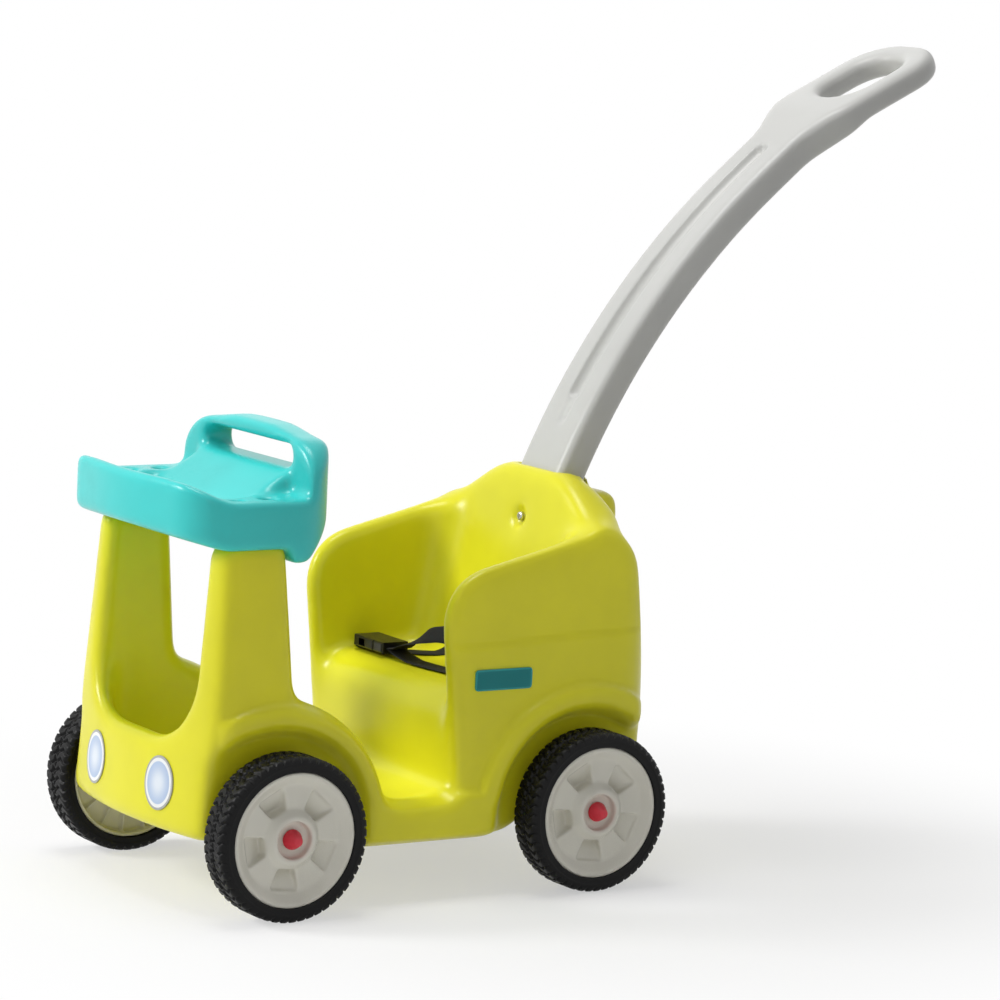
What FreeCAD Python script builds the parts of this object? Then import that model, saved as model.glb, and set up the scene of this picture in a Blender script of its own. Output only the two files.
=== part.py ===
import FreeCAD, Part
import math
import os

V = FreeCAD.Vector
AXIS_X = V(1, 0, 0)
AXIS_Y = V(0, 1, 0)
AXIS_Z = V(0, 0, 1)

# The car stands on Z 0 and faces -Y. Its left side is +X. Y 0 is halfway along the overall length.

# overall sizes, in millimetres
overall_height = 927.1
overall_width = 419.1
nose_setback = 17.0
front_axle_setback = 102.0
wheelbase = 386.0
tail_overhang = 96.0
handle_reach = 443.0
wall = 4.0
overrun = 20.0

# stations along the car
overall_length = nose_setback + front_axle_setback + wheelbase + tail_overhang + handle_reach
front_y = -overall_length / 2
nose_y = front_y + nose_setback
front_axle_y = nose_y + front_axle_setback
rear_axle_y = front_axle_y + wheelbase
tail_y = rear_axle_y + tail_overhang
tip_y = tail_y + handle_reach
axle_ys = {"front": front_axle_y, "rear": rear_axle_y}
sides = {"left": 1, "right": -1}
arm_names = {1: "rear", -1: "front"}

# wheels and axles
wheel_diameter = 177.8
tyre_width = 42.0
tyre_edge_radius = 6.0
tyre_fit = 0.1
tread_grooves = 52
tread_depth = 2.6
tread_groove_width = 3.0
tread_slant_deg = 28.0
rim_diameter = 146.0
rim_wall = 5.0
rim_inset = 1.5
rim_dish_depth = 8.0
rim_dish_run = 10.0
rim_web = 4.0
hub_diameter = 66.0
hub_top_diameter = 50.0
hub_recess_diameter = 40.0
hub_recess_depth = 9.0
hub_core_diameter = 24.0
spoke_count = 5
pocket_share = 0.48
pocket_depth = 14.0
pocket_rim_depth = 2.0
pocket_margin = 0.5
pocket_round = 2.5
pocket_turn_deg = -7.0
rib_count = 15
rib_thickness = 2.4
rib_setback = 6.0
axle_diameter = 9.5
axle_fit = 0.06
cap_proud = 7.5
cap_diameter = 22.0
cap_nose_diameter = 10.0
cap_rim = 4.0
cap_nose_round = 1.5
washer_diameter = 24.0
washer_thickness = 1.6
side_play = 0.3
wheel_radius = wheel_diameter / 2
axle_z = wheel_radius
axle_radius = axle_diameter / 2
bore_radius = axle_radius + axle_fit
tyre_outer_x = overall_width / 2 - cap_proud
tyre_inner_x = tyre_outer_x - tyre_width

# body
body_bottom = 60.0
nose_bottom = 79.0
keel_setback = 55.0
keel_ramp = 30.0
cab_top = 388.0
cab_inset = 54.55
body_inset = 44.55
nose_radius = 610.0
nose_lean_deg = 3.9
nose_panel = 34.0
pillar_top_depth = 114.0
pillar_top_inset = 9.0
pillar_taper_z = 232.0
pillar_foot_run = 12.0
pillar_foot_radius = 13.0
cab_wall = 46.0
cab_inner_round = 24.0
crown_radius = 140.0
crown_start_deg = 75.0
crown_end_deg = 16.0
well_radius = 106.0
well_clearance = 14.0
well_nose_wall = 26.0
well_tail_wall = 10.0
lip_proud = 5.0
lip_depth = 30.0
lip_round = 9.0
lip_drop = 1.5
lip_nose_gap = 24.0
lip_tail_gap = 20.0
floor_z = 104.0
sill_z = 112.0
door_round = 12.0
door_front_setback = 250.0
seat_z = 222.0
seat_front_setback = 322.0
seat_front_radius = 34.0
seat_back_setback = 460.0
seat_back_radius = 26.0
tub_corner_radius = 46.0
seat_back_lean_deg = 11.2
armrest_setback = 327.0
armrest_lean = 27.0
armrest_corner_z = 347.0
armrest_corner_radius = 62.0
armrest_end_z = 406.0
armrest_wall = 30.0
rim_outer_round = 12.0
rim_inner_round = 7.0
tail_top_inset = 35.0
tail_top_radius = 52.0
tail_shoulder_z = 195.0
tail_corner_radius = 50.0
screen_wall = 47.0
screen_bottom = 180.0
screen_radius = 70.0
crest_top_z = 446.0
crest_top_width = 124.0
crest_foot_z = 398.0
crest_foot_inset = 26.0
crest_top_radius_share = 1.43
crest_foot_radius_share = 0.873
crest_rear_radius = 36.0
crest_rear_lift = 2.0
crest_shoulder = 25.0
crest_corner_radius = 62.0
crest_base_z = 330.0
side_share = 0.3
cab_width = overall_width - 2 * cab_inset
body_width = overall_width - 2 * body_inset
cab_inner_width = cab_width - 2 * cab_wall
screen_width = cab_width - 2 * screen_wall
crest_foot_width = body_width - 2 * crest_foot_inset
crest_run = (crest_foot_width - crest_top_width) / 2
crest_top_radius = crest_run * crest_top_radius_share
crest_foot_radius = crest_run * crest_foot_radius_share
tub_half_width = body_width / 2 - armrest_wall

# push handle and its socket behind the seat back
handle_width = 88.0
handle_thickness = 38.0
handle_setback = 517.0
handle_tang_bottom = 352.0
handle_bend_z = 440.0
handle_start_deg = 66.0
handle_run = 110.0
handle_bend_radius = 130.0
handle_round = 10.0
loop_length = 177.4
loop_slope_share = 0.6562
loop_width = 140.0
loop_bar = 33.0
loop_thickness = 29.0
loop_flare = 55.0
loop_flare_lead = 42.0
loop_flare_radius = 60.0
loop_heel = 40.0
loop_corner = 58.0
loop_hole_corner = 34.0
slope_passes = 24
groove_width = 15.0
groove_depth = 4.0
groove_shares = (0.154, 0.923)
socket_wall = 8.0
socket_bottom_z = 322.0
socket_step_z = 372.0
socket_top_z = 420.0
socket_depth = 82.0
socket_round = 10.0
socket_fit = 0.3

# dash tray
tray_inset = 5.0
tray_rear_setback = 180.0
tray_front_radius = 420.0
tray_sweep_deg = 8.0
tray_front_corner = 52.0
tray_rear_corner = 62.0
tray_bottom_z = cab_top
tray_rim_z = 440.0
tray_visor_z = 462.0
tray_visor_depth = 56.0
tray_visor_drop = 12.0
tray_visor_lift = 16.0
tray_lip_z = 372.0
tray_lip_depth = 22.0
tray_skirt_z = 417.0
tray_dish_depth = 12.0
tray_rim = 15.0
tray_shoulder = 50.0
tray_ramp_run = 60.0
tray_wall = 4.0
arch_inset = 2.0
arch_top_z = 510.0
arch_bar = 20.0
arch_depth = 40.0
arch_hole_z = 466.0
arch_hole_width_share = 0.642
arch_hole_corner = 12.0
arch_rear_gap = 2.0
arch_round = 5.0
arch_corner = 56.0
arch_top_radius_share = 1.115
arch_drop = 22.0
tray_width = cab_width - 2 * tray_inset
tray_dish_width = tray_width - 2 * tray_shoulder
arch_width = tray_width - 2 * arch_inset
arch_hole_width = arch_width * arch_hole_width_share
arch_top_radius = arch_width * arch_top_radius_share

# fasteners
screw_head_diameter = 10.0
screw_head_height = 3.2
screw_shank_diameter = 4.8
screw_length = 22.0
screw_drive_width = 1.4
screw_drive_length = 6.0
screw_drive_depth = 1.4
screw_fit = 0.1
tray_screw_inset = 31.0
tray_screw_setbacks = {"front": 78.0, "rear": 116.0}
tray_well_diameter = 15.0
tray_well_floor = 7.0
handle_screw_z = 388.0
handle_screw_length = 42.0
dimple_diameter = 26.0
dimple_depth = 5.0
nut_diameter = 12.0
nut_length = 14.0
tray_screw_x = tray_width / 2 - tray_screw_inset

# lights and badges
light_width = 50.0
light_height = 58.0
light_inset = 83.0
light_z = 132.0
light_thickness = 1.2
light_gap = 0.1
badge_length = 72.0
badge_height = 23.0
badge_thickness = 1.8
badge_setback = 342.0
badge_z = 226.0
badge_corner = 4.0
light_x = cab_width / 2 - light_inset

# seat belt; plans are shares of the way across to the anchor, of the seat's depth and of the buckle's
# height, with the direction that the webbing's width points in
webbing_width = 25.0
webbing_thickness = 1.6
rest_gap = 0.3
anchor_inset = 71.0
anchor_z = 262.0
anchor_washer_diameter = 18.0
anchor_washer_thickness = 1.2
anchor_screw_length = 16.0
buckle_width = 36.0
buckle_height = 13.0
buckle_length = 42.0
buckle_wall = 2.4
buckle_end_wall = 6.0
buckle_side_gap = 13.0
buckle_setback = 376.0
buckle_lift = 5.0
buckle_round = 3.0
window_length = 14.0
window_setback = 16.0
plug_base_length = 20.0
plug_tongue_width = 7.0
plug_tongue_length = 30.0
plug_gap = 0.4
arm_width = 4.0
arm_length = 27.0
arm_eye_diameter = 5.0
arm_eye_setback = 4.0
arm_slot_gap = 0.7
strap_steps = 40
belt_left_plan_shares = [
    (0.122, 0.395, 0.42, 90),
    (0.307, 0.43, 0.1, 96),
    (0.635, 0.5, 0.06, 100),
    (0.832, 0.585, 0.06, 122),
    (0.957, 0.71, 0.06, 152),
]
belt_right_plan_shares = [
    (0.105, 0.391, 0.76, 90),
    (0.072, 0.391, 0.42, 90),
    (0.124, 0.395, 0.14, 90),
    (0.285, 0.425, 0.1, 94),
    (0.494, 0.49, 0.08, 108),
    (0.761, 0.6, 0.05, 132),
    (0.932, 0.72, 0.05, 156),
]
strap_fillet_degs = (-90, -62, -36)
anchor_x = tub_half_width - anchor_inset
buckle_left_x = buckle_side_gap - tub_half_width


def line(a, b):
    return Part.LineSegment(a, b).toShape()


def side_view(u, v):
    return V(0, u, v)


def front_view(u, v):
    return V(u, 0, v)


def top_view(u, v):
    return V(u, v, 0)


# A closed face through corners (u, v, radius). Each corner is rounded by a tangent arc of its radius.
def rounded(corners, place):
    count = len(corners)
    path = []
    starts = []
    ends = []
    arcs = {}
    for i in range(count):
        here = V(corners[i][0], corners[i][1], 0)
        before = V(corners[i - 1][0], corners[i - 1][1], 0)
        after = V(corners[(i + 1) % count][0], corners[(i + 1) % count][1], 0)
        back = (before - here).normalize()
        ahead = (after - here).normalize()
        radius = corners[i][2]
        half = back.getAngle(ahead) / 2
        reach = radius / math.tan(half)
        starts.append(here + back * reach)
        ends.append(here + ahead * reach)
        if radius > 0:
            middle = here + (back + ahead).normalize() * (radius / math.sin(half) - radius)
            arcs[i] = Part.Arc(*[place(p.x, p.y) for p in (starts[i], middle, ends[i])]).toShape()
    for i in range(count):
        if i in arcs:
            path.append(arcs[i])
        a = ends[i]
        b = starts[(i + 1) % count]
        if not a.isEqual(b, Part.Precision.confusion()):
            path.append(line(place(a.x, a.y), place(b.x, b.y)))
    return Part.Face(Part.Wire(path))


def grown(face, distance):
    if distance == 0:
        return face
    return face.makeOffset2D(distance)


def along_x(face, low, high):
    moved = face.copy()
    moved.translate(V(low, 0, 0))
    return moved.extrude(V(high - low, 0, 0))


def along_y(face, low, high):
    moved = face.copy()
    moved.translate(V(0, low, 0))
    return moved.extrude(V(0, high - low, 0))


def along_z(face, low, high):
    moved = face.copy()
    moved.translate(V(0, 0, low))
    return moved.extrude(V(0, 0, high - low))


def block(low, high):
    return Part.makeBox(high[0] - low[0], high[1] - low[1], high[2] - low[2], V(*low))


def rod(radius, start, way, length):
    return Part.makeCylinder(radius, length, start, way)


def mirrored(shape):
    return shape.mirror(V(0, 0, 0), AXIS_X)


def export(shape, node):
    os.makedirs("parts", exist_ok=True)
    shape.removeSplitter().exportStep("parts/" + node + ".step")


# the tail leans forwards above its shoulder
def tail_line_y(z):
    return tail_y - tail_top_inset * (z - tail_shoulder_z) / (armrest_end_z - tail_shoulder_z)


def pillar_foot():
    start = math.radians(crown_start_deg)
    foot_y = front_axle_y + crown_radius * math.cos(start) - pillar_foot_run * math.sin(start)
    foot_z = axle_z + crown_radius * math.sin(start) + pillar_foot_run * math.cos(start)
    return foot_y, foot_z


# the pillars' rear edge runs from their top to their foot
def pillar_rear_y(z):
    top_y = nose_y + pillar_top_depth
    foot_y, foot_z = pillar_foot()
    return top_y + (foot_y - top_y) * (cab_top - z) / (cab_top - foot_z)


# body: the side outline, with pillars, door openings and armrests, runs through the plan outline
def side_outline():
    start = math.radians(crown_start_deg)
    end = math.radians(crown_end_deg)
    foot_y, foot_z = pillar_foot()
    middle = (start + end) / 2
    reach = crown_radius / math.cos((start - end) / 2)
    crown = (front_axle_y + reach * math.cos(middle), axle_z + reach * math.sin(middle))
    end_y = front_axle_y + crown_radius * math.cos(end)
    end_z = axle_z + crown_radius * math.sin(end)
    sill_y = end_y + (end_z - sill_z) * math.tan(end)
    armrest_y = nose_y + armrest_setback
    ahead_y = nose_y - overrun
    return [
        (ahead_y, nose_bottom, 0),
        (ahead_y, cab_top, 0),
        (pillar_rear_y(cab_top), cab_top, 0),
        (foot_y, foot_z, pillar_foot_radius),
        (crown[0], crown[1], crown_radius),
        (sill_y, sill_z, door_round),
        (armrest_y, sill_z, door_round),
        (armrest_y - armrest_lean, armrest_corner_z, armrest_corner_radius),
        (tail_line_y(armrest_end_z), armrest_end_z, tail_top_radius),
        (tail_line_y(nose_bottom), nose_bottom, 0),
        (rear_axle_y - keel_setback, nose_bottom, 0),
        (rear_axle_y - keel_setback - keel_ramp, body_bottom, 0),
        (front_axle_y + keel_setback + keel_ramp, body_bottom, 0),
        (front_axle_y + keel_setback, nose_bottom, 0),
    ]


def plan_outline():
    ahead = side_x(nose_y - overrun)
    return [
        (-ahead, nose_y - overrun, 0),
        (ahead, nose_y - overrun, 0),
        (body_width / 2, tail_y, tail_corner_radius),
        (-body_width / 2, tail_y, tail_corner_radius),
    ]


def nose_cone(offset):
    slope = math.tan(math.radians(nose_lean_deg))
    low = nose_radius + nose_bottom * slope - offset
    high = nose_radius - (cab_top - nose_bottom) * slope - offset
    return Part.makeCone(low, high, cab_top, V(0, nose_y + nose_radius, 0), AXIS_Z)


def nose_trim(offset):
    cone = nose_cone(offset)
    ahead = block((-body_width, nose_y - 2 * overrun, 0), (body_width, front_axle_y, cab_top))
    return ahead.cut(cone)


# the wedges that lean the pillars inwards, met by the sides a little above the wheels
def pillar_trims(outset):
    half = cab_width / 2 - outset
    slope = pillar_top_inset / (cab_top - pillar_taper_z)
    high = cab_top + overrun
    corners = [
        (half + (pillar_taper_z - sill_z) * slope, sill_z, 0),
        (half - (high - pillar_taper_z) * slope, high, 0),
        (body_width, high, 0),
        (body_width, sill_z, 0),
    ]
    wedge = along_y(rounded(corners, front_view), nose_y - overrun, front_axle_y + crown_radius)
    return [wedge, mirrored(wedge)]


def envelope(inset):
    half = body_width / 2 + overrun
    solid = along_x(grown(rounded(side_outline(), side_view), -inset), -half, half)
    plan = along_z(grown(rounded(plan_outline(), top_view), -inset), 0, overall_height)
    solid = solid.common(plan)
    return solid.cut([nose_trim(inset)] + pillar_trims(inset))


def back_y(z):
    return nose_y + seat_back_setback + (z - seat_z) * math.tan(math.radians(seat_back_lean_deg))


# the hollow that the rider sits in: footwell, seat, and the leaning front of the seat back
def seat_hollow(outset):
    high = overall_height
    door_y = nose_y + door_front_setback
    front_seat_y = nose_y + seat_front_setback
    corners = [
        (door_y, floor_z, 0),
        (front_seat_y, floor_z, seat_front_radius),
        (front_seat_y, seat_z, seat_front_radius),
        (back_y(seat_z), seat_z, seat_back_radius),
        (back_y(high), high, 0),
        (door_y, high, 0),
    ]
    half = tub_half_width + outset
    hollow = along_x(grown(rounded(corners, side_view), outset), -half, half)
    return hollow.common(tub_corners(outset))


# the rear corners of the tub are rounded, and lean with the seat back
def tub_corners(outset):
    half = tub_half_width + outset
    rear = back_y(0) + outset + rest_gap
    radius = tub_corner_radius + outset
    corners = [(-half, front_y, 0), (half, front_y, 0), (half, rear, radius), (-half, rear, radius)]
    lean = math.tan(math.radians(seat_back_lean_deg))
    return rounded(corners, top_view).extrude(V(0, lean, 1) * overall_height)


def cab_hollow(outset):
    half = cab_inner_width / 2
    front = nose_y + nose_panel
    rear = nose_y + seat_front_setback - seat_front_radius
    corners = [
        (-half, front, cab_inner_round),
        (half, front, cab_inner_round),
        (half, rear, 0),
        (-half, rear, 0),
    ]
    return along_z(grown(rounded(corners, top_view), outset), floor_z - outset, overall_height)


def screen_hollow(outset):
    half = screen_width / 2
    corners = [
        (-half, screen_bottom, screen_radius),
        (half, screen_bottom, screen_radius),
        (half, overall_height, 0),
        (-half, overall_height, 0),
    ]
    face = grown(rounded(corners, front_view), outset)
    return along_y(face, nose_y - 2 * overrun, nose_y + nose_panel + cab_inner_round)


def well_wall_x():
    return tyre_inner_x - well_clearance


def wheel_wells(outset):
    wells = []
    low = nose_y + well_nose_wall - outset
    high = tail_y - well_tail_wall + outset
    for axle_y in axle_ys.values():
        start = V(well_wall_x() - outset, axle_y, axle_z)
        well = rod(well_radius + outset, start, AXIS_X, overall_width)
        reach = block((0, low, -overall_height), (2 * overall_width, high, overall_height))
        well = well.common(reach)
        wells += [well, mirrored(well)]
    return wells


# half the body's width at a station: the sides widen evenly from nose to tail
def side_x(y):
    share = (y - nose_y) / (tail_y - nose_y)
    return (cab_width + (body_width - cab_width) * share) / 2


def lip_plan():
    corners = [
        (0, nose_y, 0),
        (cab_width / 2, nose_y, 0),
        (cab_width / 2, nose_y + lip_nose_gap, 0),
        (side_x(front_axle_y) + lip_proud, front_axle_y, 0),
        (side_x(rear_axle_y) + lip_proud, rear_axle_y, 0),
        (body_width / 2, tail_y - lip_tail_gap, 0),
        (0, tail_y - lip_tail_gap, 0),
    ]
    return rounded(corners, top_view)


# raised round lips over the wheels, cut off at the nose, the tail and the sill; the wells trim their inside
def arch_lips(inset):
    lips = []
    for axle_y in axle_ys.values():
        outer = side_x(axle_y) + lip_proud - inset
        inner = outer - lip_depth
        low = axle_z + well_radius - lip_depth / 2
        high = axle_z + crown_radius - lip_drop - inset
        round_off = lip_round - inset
        corners = [(inner, low, 0), (outer, low, 0), (outer, high, round_off), (inner, high, 0)]
        face = rounded(corners, front_view)
        face.translate(V(0, axle_y, 0))
        ring = face.revolve(V(0, axle_y, axle_z), AXIS_X, 360)
        reach = along_z(grown(lip_plan(), -inset), sill_z - door_round + inset, overall_height)
        lip = ring.common(reach).cut(nose_trim(inset))
        lips += [lip, mirrored(lip)]
    return lips


# the bell-shaped crest of the seat back
def crest(inset):
    high = crest_top_z + crest_rear_lift
    side_corners = [
        (back_y(crest_base_z), crest_base_z, 0),
        (back_y(high), high, 0),
        (tail_line_y(high), high, crest_rear_radius),
        (tail_line_y(crest_base_z), crest_base_z, 0),
    ]
    foot = crest_foot_width / 2
    half = foot + crest_shoulder
    top = crest_top_width / 2
    bell_corners = [
        (-half, crest_base_z, 0),
        (half, crest_base_z, 0),
        (half, crest_foot_z, 0),
        (foot, crest_foot_z, crest_foot_radius),
        (top, crest_top_z, crest_top_radius),
        (-top, crest_top_z, crest_top_radius),
        (-foot, crest_foot_z, crest_foot_radius),
        (-half, crest_foot_z, 0),
    ]
    solid = along_x(grown(rounded(side_corners, side_view), -inset), -half, half)
    solid = solid.common(along_y(grown(rounded(bell_corners, front_view), -inset), nose_y, tail_y))
    rear = tail_line_y(crest_foot_z)
    plan_corners = [
        (-half, nose_y, 0),
        (half, nose_y, 0),
        (half, rear, crest_corner_radius),
        (-half, rear, crest_corner_radius),
    ]
    return solid.common(along_z(grown(rounded(plan_corners, top_view), -inset), 0, overall_height))


# edges where a face that looks along a direction meets one that doesn't
def rim_edges(solid, way, keep):
    chosen = []
    for edge in solid.Edges:
        faces = solid.ancestorsOfType(edge, Part.Face)
        if len(faces) != 2:
            continue
        middle = edge.valueAt((edge.FirstParameter + edge.LastParameter) / 2)
        facing = sorted(abs(f.normalAt(*f.Surface.parameter(middle)).dot(way)) for f in faces)
        if facing[0] < side_share and facing[1] > 1 - side_share and keep(middle):
            chosen.append(edge)
    return chosen


def on_outer_rim(p):
    below_pillar_top = p.z < cab_top - wall or p.y > front_axle_y + crown_radius
    return p.y > nose_y and p.z > sill_z - wall and below_pillar_top


def on_cab_rim(p):
    at_wall = abs(abs(p.x) - cab_inner_width / 2) < wall
    return at_wall and p.y > front_axle_y and sill_z + door_round < p.z < cab_top - wall


def hollows(outset):
    return [seat_hollow(outset), cab_hollow(outset), screen_hollow(outset)]


def body_outside():
    half = body_width / 2 + overrun
    solid = along_x(rounded(side_outline(), side_view), -half, half)
    solid = solid.common(along_z(rounded(plan_outline(), top_view), 0, overall_height))
    solid = solid.makeFillet(rim_outer_round, rim_edges(solid, AXIS_X, on_outer_rim))
    solid = solid.cut([nose_trim(0)] + pillar_trims(0)).cut(hollows(0))
    solid = solid.makeFillet(rim_inner_round, rim_edges(solid, AXIS_X, on_cab_rim))
    return solid.fuse([crest(0)] + arch_lips(0)).cut(wheel_wells(0))


# the sealed space inside the moulding, one wall in from every face and clear of the handle
def body_inside():
    solid = envelope(wall).cut(hollows(wall))
    solid = solid.fuse([crest(wall).cut(seat_hollow(wall))] + arch_lips(wall))
    half = handle_width / 2 + socket_fit + wall
    collar = block((-half, front_y, socket_step_z), (half, tip_y, overall_height))
    return solid.cut(wheel_wells(wall) + [collar])


# a solid block from the seat back to behind the handle's foot
def socket_block():
    rear_y = nose_y + handle_setback + socket_depth
    corners = [
        (back_y(socket_bottom_z) + wall / 2, socket_bottom_z, 0),
        (back_y(socket_top_z) + wall / 2, socket_top_z, 0),
        (rear_y, socket_top_z, socket_round),
        (rear_y, socket_step_z, socket_round),
        (tail_y - tail_top_inset, socket_bottom_z, 0),
    ]
    half = handle_width / 2 + socket_wall
    return along_x(rounded(corners, side_view), -half, half)


def climb(angle):
    return V(0, math.cos(angle), math.sin(angle))


# push handle: a straight foot, a long arc, a straight run, a bend and the sloping loop. The loop climbs
# at a share of the run's angle and ends at the overall height and length. The arc and the run meet it from
# the foot.
def handle_lines():
    start = math.radians(handle_start_deg)
    foot = V(0, nose_y + handle_setback, handle_bend_z)
    end = start
    for step in range(slope_passes):
        slope = end * loop_slope_share
        spare = handle_round * (math.sin(slope) + math.cos(slope) - 1)
        tip = V(0, tip_y + spare - loop_thickness * math.sin(slope), overall_height + spare)
        bend = tip - climb(slope) * loop_length
        chord = bend - climb(end) * handle_run - foot
        end = (end + 2 * math.atan2(chord.z, chord.y) - start) / 2
    half = (start - end) / 2
    radius = chord.Length / (2 * math.sin(half))
    arc = foot + climb(start) * radius * math.tan(half)
    return foot, arc, bend, tip, start, end, radius, slope


# a corner's place on the back face, behind two faces that climb at the given angles, each with its thickness
def behind(corner, first, first_depth, second, second_depth):
    turn = first - second
    if turn == 0:
        return corner + V(0, math.sin(first), -math.cos(first)) * first_depth
    slide = (second_depth - first_depth * math.cos(turn)) / math.sin(turn)
    ahead = V(0, math.cos(first), math.sin(first)) * slide
    return corner + V(0, math.sin(first), -math.cos(first)) * first_depth - ahead


def handle_side(inset):
    foot, arc, bend, tip, start, end, radius, slope = handle_lines()
    paths = []
    for stem, loop in ((inset, inset), (handle_thickness - inset, loop_thickness - inset)):
        low = behind(foot, start, stem, start, stem)
        arc_place = behind(arc, start, stem, end, stem)
        bend_place = behind(bend, end, stem, slope, loop)
        high = behind(tip, slope, loop, slope, loop)
        paths.append([
            (low.y, handle_tang_bottom, 0),
            (low.y, low.z, 0),
            (arc_place.y, arc_place.z, radius - stem),
            (bend_place.y, bend_place.z, handle_bend_radius - stem),
            (high.y, high.z, 0),
        ])
    return rounded(paths[0] + paths[1][::-1], side_view)


def through_loop(corners):
    foot, arc, bend, tip, start, end, radius, slope = handle_lines()
    along = V(0, math.cos(slope), math.sin(slope))
    down = V(0, math.sin(slope), -math.cos(slope))

    def place(u, v):
        return bend + V(u, 0, 0) + along * v - down * overrun

    return rounded(corners, place).extrude(down * overall_height)


def handle_outline():
    foot, arc, bend, tip, start, end, radius, slope = handle_lines()
    length = (tip - bend).Length
    half = handle_width / 2
    wide = loop_width / 2
    lead = loop_flare_lead
    right = [(half, -overall_height, 0), (half, -lead, loop_flare_radius)]
    right += [(wide, loop_flare - lead, loop_flare_radius), (wide, length, loop_corner)]
    left = [(-u, v, r) for u, v, r in reversed(right)]
    hole_half = wide - loop_bar
    hole = [
        (-hole_half, loop_heel, loop_hole_corner),
        (hole_half, loop_heel, loop_hole_corner),
        (hole_half, length - loop_bar, loop_hole_corner),
        (-hole_half, length - loop_bar, loop_hole_corner),
    ]
    return through_loop(right + left), through_loop(hole)


def handle_groove(outset):
    foot, arc, bend, tip, start, end, radius, slope = handle_lines()
    centre = foot + V(0, math.sin(start), -math.cos(start)) * radius
    ends = []
    for share in groove_shares:
        angle = start + (end - start) * share
        ends.append(V(0, -math.sin(angle), math.cos(angle)))
    middle = (ends[0] + ends[1]).normalize()
    low = radius - groove_depth - outset
    high = radius + overrun
    path = [Part.Arc(*[centre + way * low for way in (ends[0], middle, ends[1])]).toShape()]
    path.append(line(centre + ends[1] * low, centre + ends[1] * high))
    path.append(Part.Arc(*[centre + way * high for way in (ends[1], middle, ends[0])]).toShape())
    path.append(line(centre + ends[0] * high, centre + ends[0] * low))
    half = groove_width / 2 + outset
    slot = along_x(Part.Face(Part.Wire(path)), -half, half)
    rounds = [rod(half, centre + way * low, way, high - low) for way in ends]
    return [slot] + rounds


# the sealed space inside the stem, from the bend of its foot to the start of the loop
def handle_cavity():
    half = handle_width / 2 - wall
    stem = along_x(handle_side(wall), -half, half)
    below_loop = [(-half, -overall_height, 0), (half, -overall_height, 0), (half, 0, 0), (-half, 0, 0)]
    stem = stem.common(through_loop(below_loop))
    stem = stem.common(block((-half, front_y, handle_bend_z), (half, tip_y, overall_height)))
    return stem.cut(handle_groove(wall))


def nut_front():
    return V(0, nose_y + handle_setback, handle_screw_z)


def on_handle_rim(p):
    return p.z > handle_bend_z + handle_thickness


def handle_screw_start():
    return V(0, back_y(handle_screw_z) + dimple_depth, handle_screw_z)


def push_handle():
    half = loop_width / 2 + overrun
    outline, hole = handle_outline()
    solid = along_x(handle_side(0), -half, half).common(outline).cut(hole)
    slope = handle_lines()[-1]
    down = V(0, math.sin(slope), -math.cos(slope))
    solid = solid.makeFillet(handle_round, rim_edges(solid, down, on_handle_rim))
    nut_hole = rod(nut_diameter / 2 + screw_fit, nut_front(), AXIS_Y, nut_length + screw_fit)
    shank = shank_hole(handle_screw_start(), AXIS_Y * -1, handle_screw_length)
    return solid.cut(handle_groove(0) + [nut_hole, shank, handle_cavity()])


def handle_pocket():
    half = handle_width / 2 + socket_fit
    return along_x(grown(handle_side(0), socket_fit), -half, half)


# screws: a domed head with a cross recess on the point, a shank that runs against the given direction
def screw(point, way, length):
    radius = screw_head_diameter / 2
    head = rod(radius, V(0, 0, 0), AXIS_Z, screw_head_height)
    head = head.makeFillet(screw_head_height / 2, [e for e in head.Edges if e.BoundBox.ZMin > 0])
    shank = rod(screw_shank_diameter / 2, V(0, 0, -length), AXIS_Z, length)
    solid = head.fuse(shank)
    low = screw_head_height - screw_drive_depth
    long = screw_drive_length / 2
    wide = screw_drive_width / 2
    cross = [
        block((-long, -wide, low), (long, wide, screw_head_height)),
        block((-wide, -long, low), (wide, long, screw_head_height)),
    ]
    solid = solid.cut(cross)
    solid.Placement = FreeCAD.Placement(point, FreeCAD.Rotation(AXIS_Z, way))
    return solid


def shank_hole(point, way, length):
    return rod(screw_shank_diameter / 2 + screw_fit, point, way * -1, length + rest_gap)


def tray_screw_points():
    points = []
    for x in (-tray_screw_x, tray_screw_x):
        for setback in tray_screw_setbacks.values():
            points.append(V(x, front_y + setback, tray_bottom_z + tray_well_floor))
    return points


def back_normal():
    lean = math.radians(seat_back_lean_deg)
    return V(0, -math.cos(lean), math.sin(lean))


# a point on the seat back, or above it by the given distance
def back_point(x, z, above):
    return V(x, back_y(z), z) + back_normal() * above


def anchor_points(above):
    return [back_point(x, anchor_z, above) for x in (-anchor_x, anchor_x)]


def body_shell():
    solid = body_outside().cut(body_inside()).fuse(socket_block())
    holes = [handle_pocket()]
    dimple = V(0, back_y(handle_screw_z) - overrun, handle_screw_z)
    holes.append(rod(dimple_diameter / 2, dimple, AXIS_Y, overrun + dimple_depth))
    holes.append(shank_hole(handle_screw_start(), AXIS_Y * -1, handle_screw_length))
    holes += [shank_hole(point, AXIS_Z, screw_length) for point in tray_screw_points()]
    holes += [shank_hole(point, back_normal(), anchor_screw_length) for point in anchor_points(0)]
    for axle_y in axle_ys.values():
        start = V(-overall_width, axle_y, axle_z)
        holes.append(rod(bore_radius, start, AXIS_X, 2 * overall_width))
    return solid.cut(holes)


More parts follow.
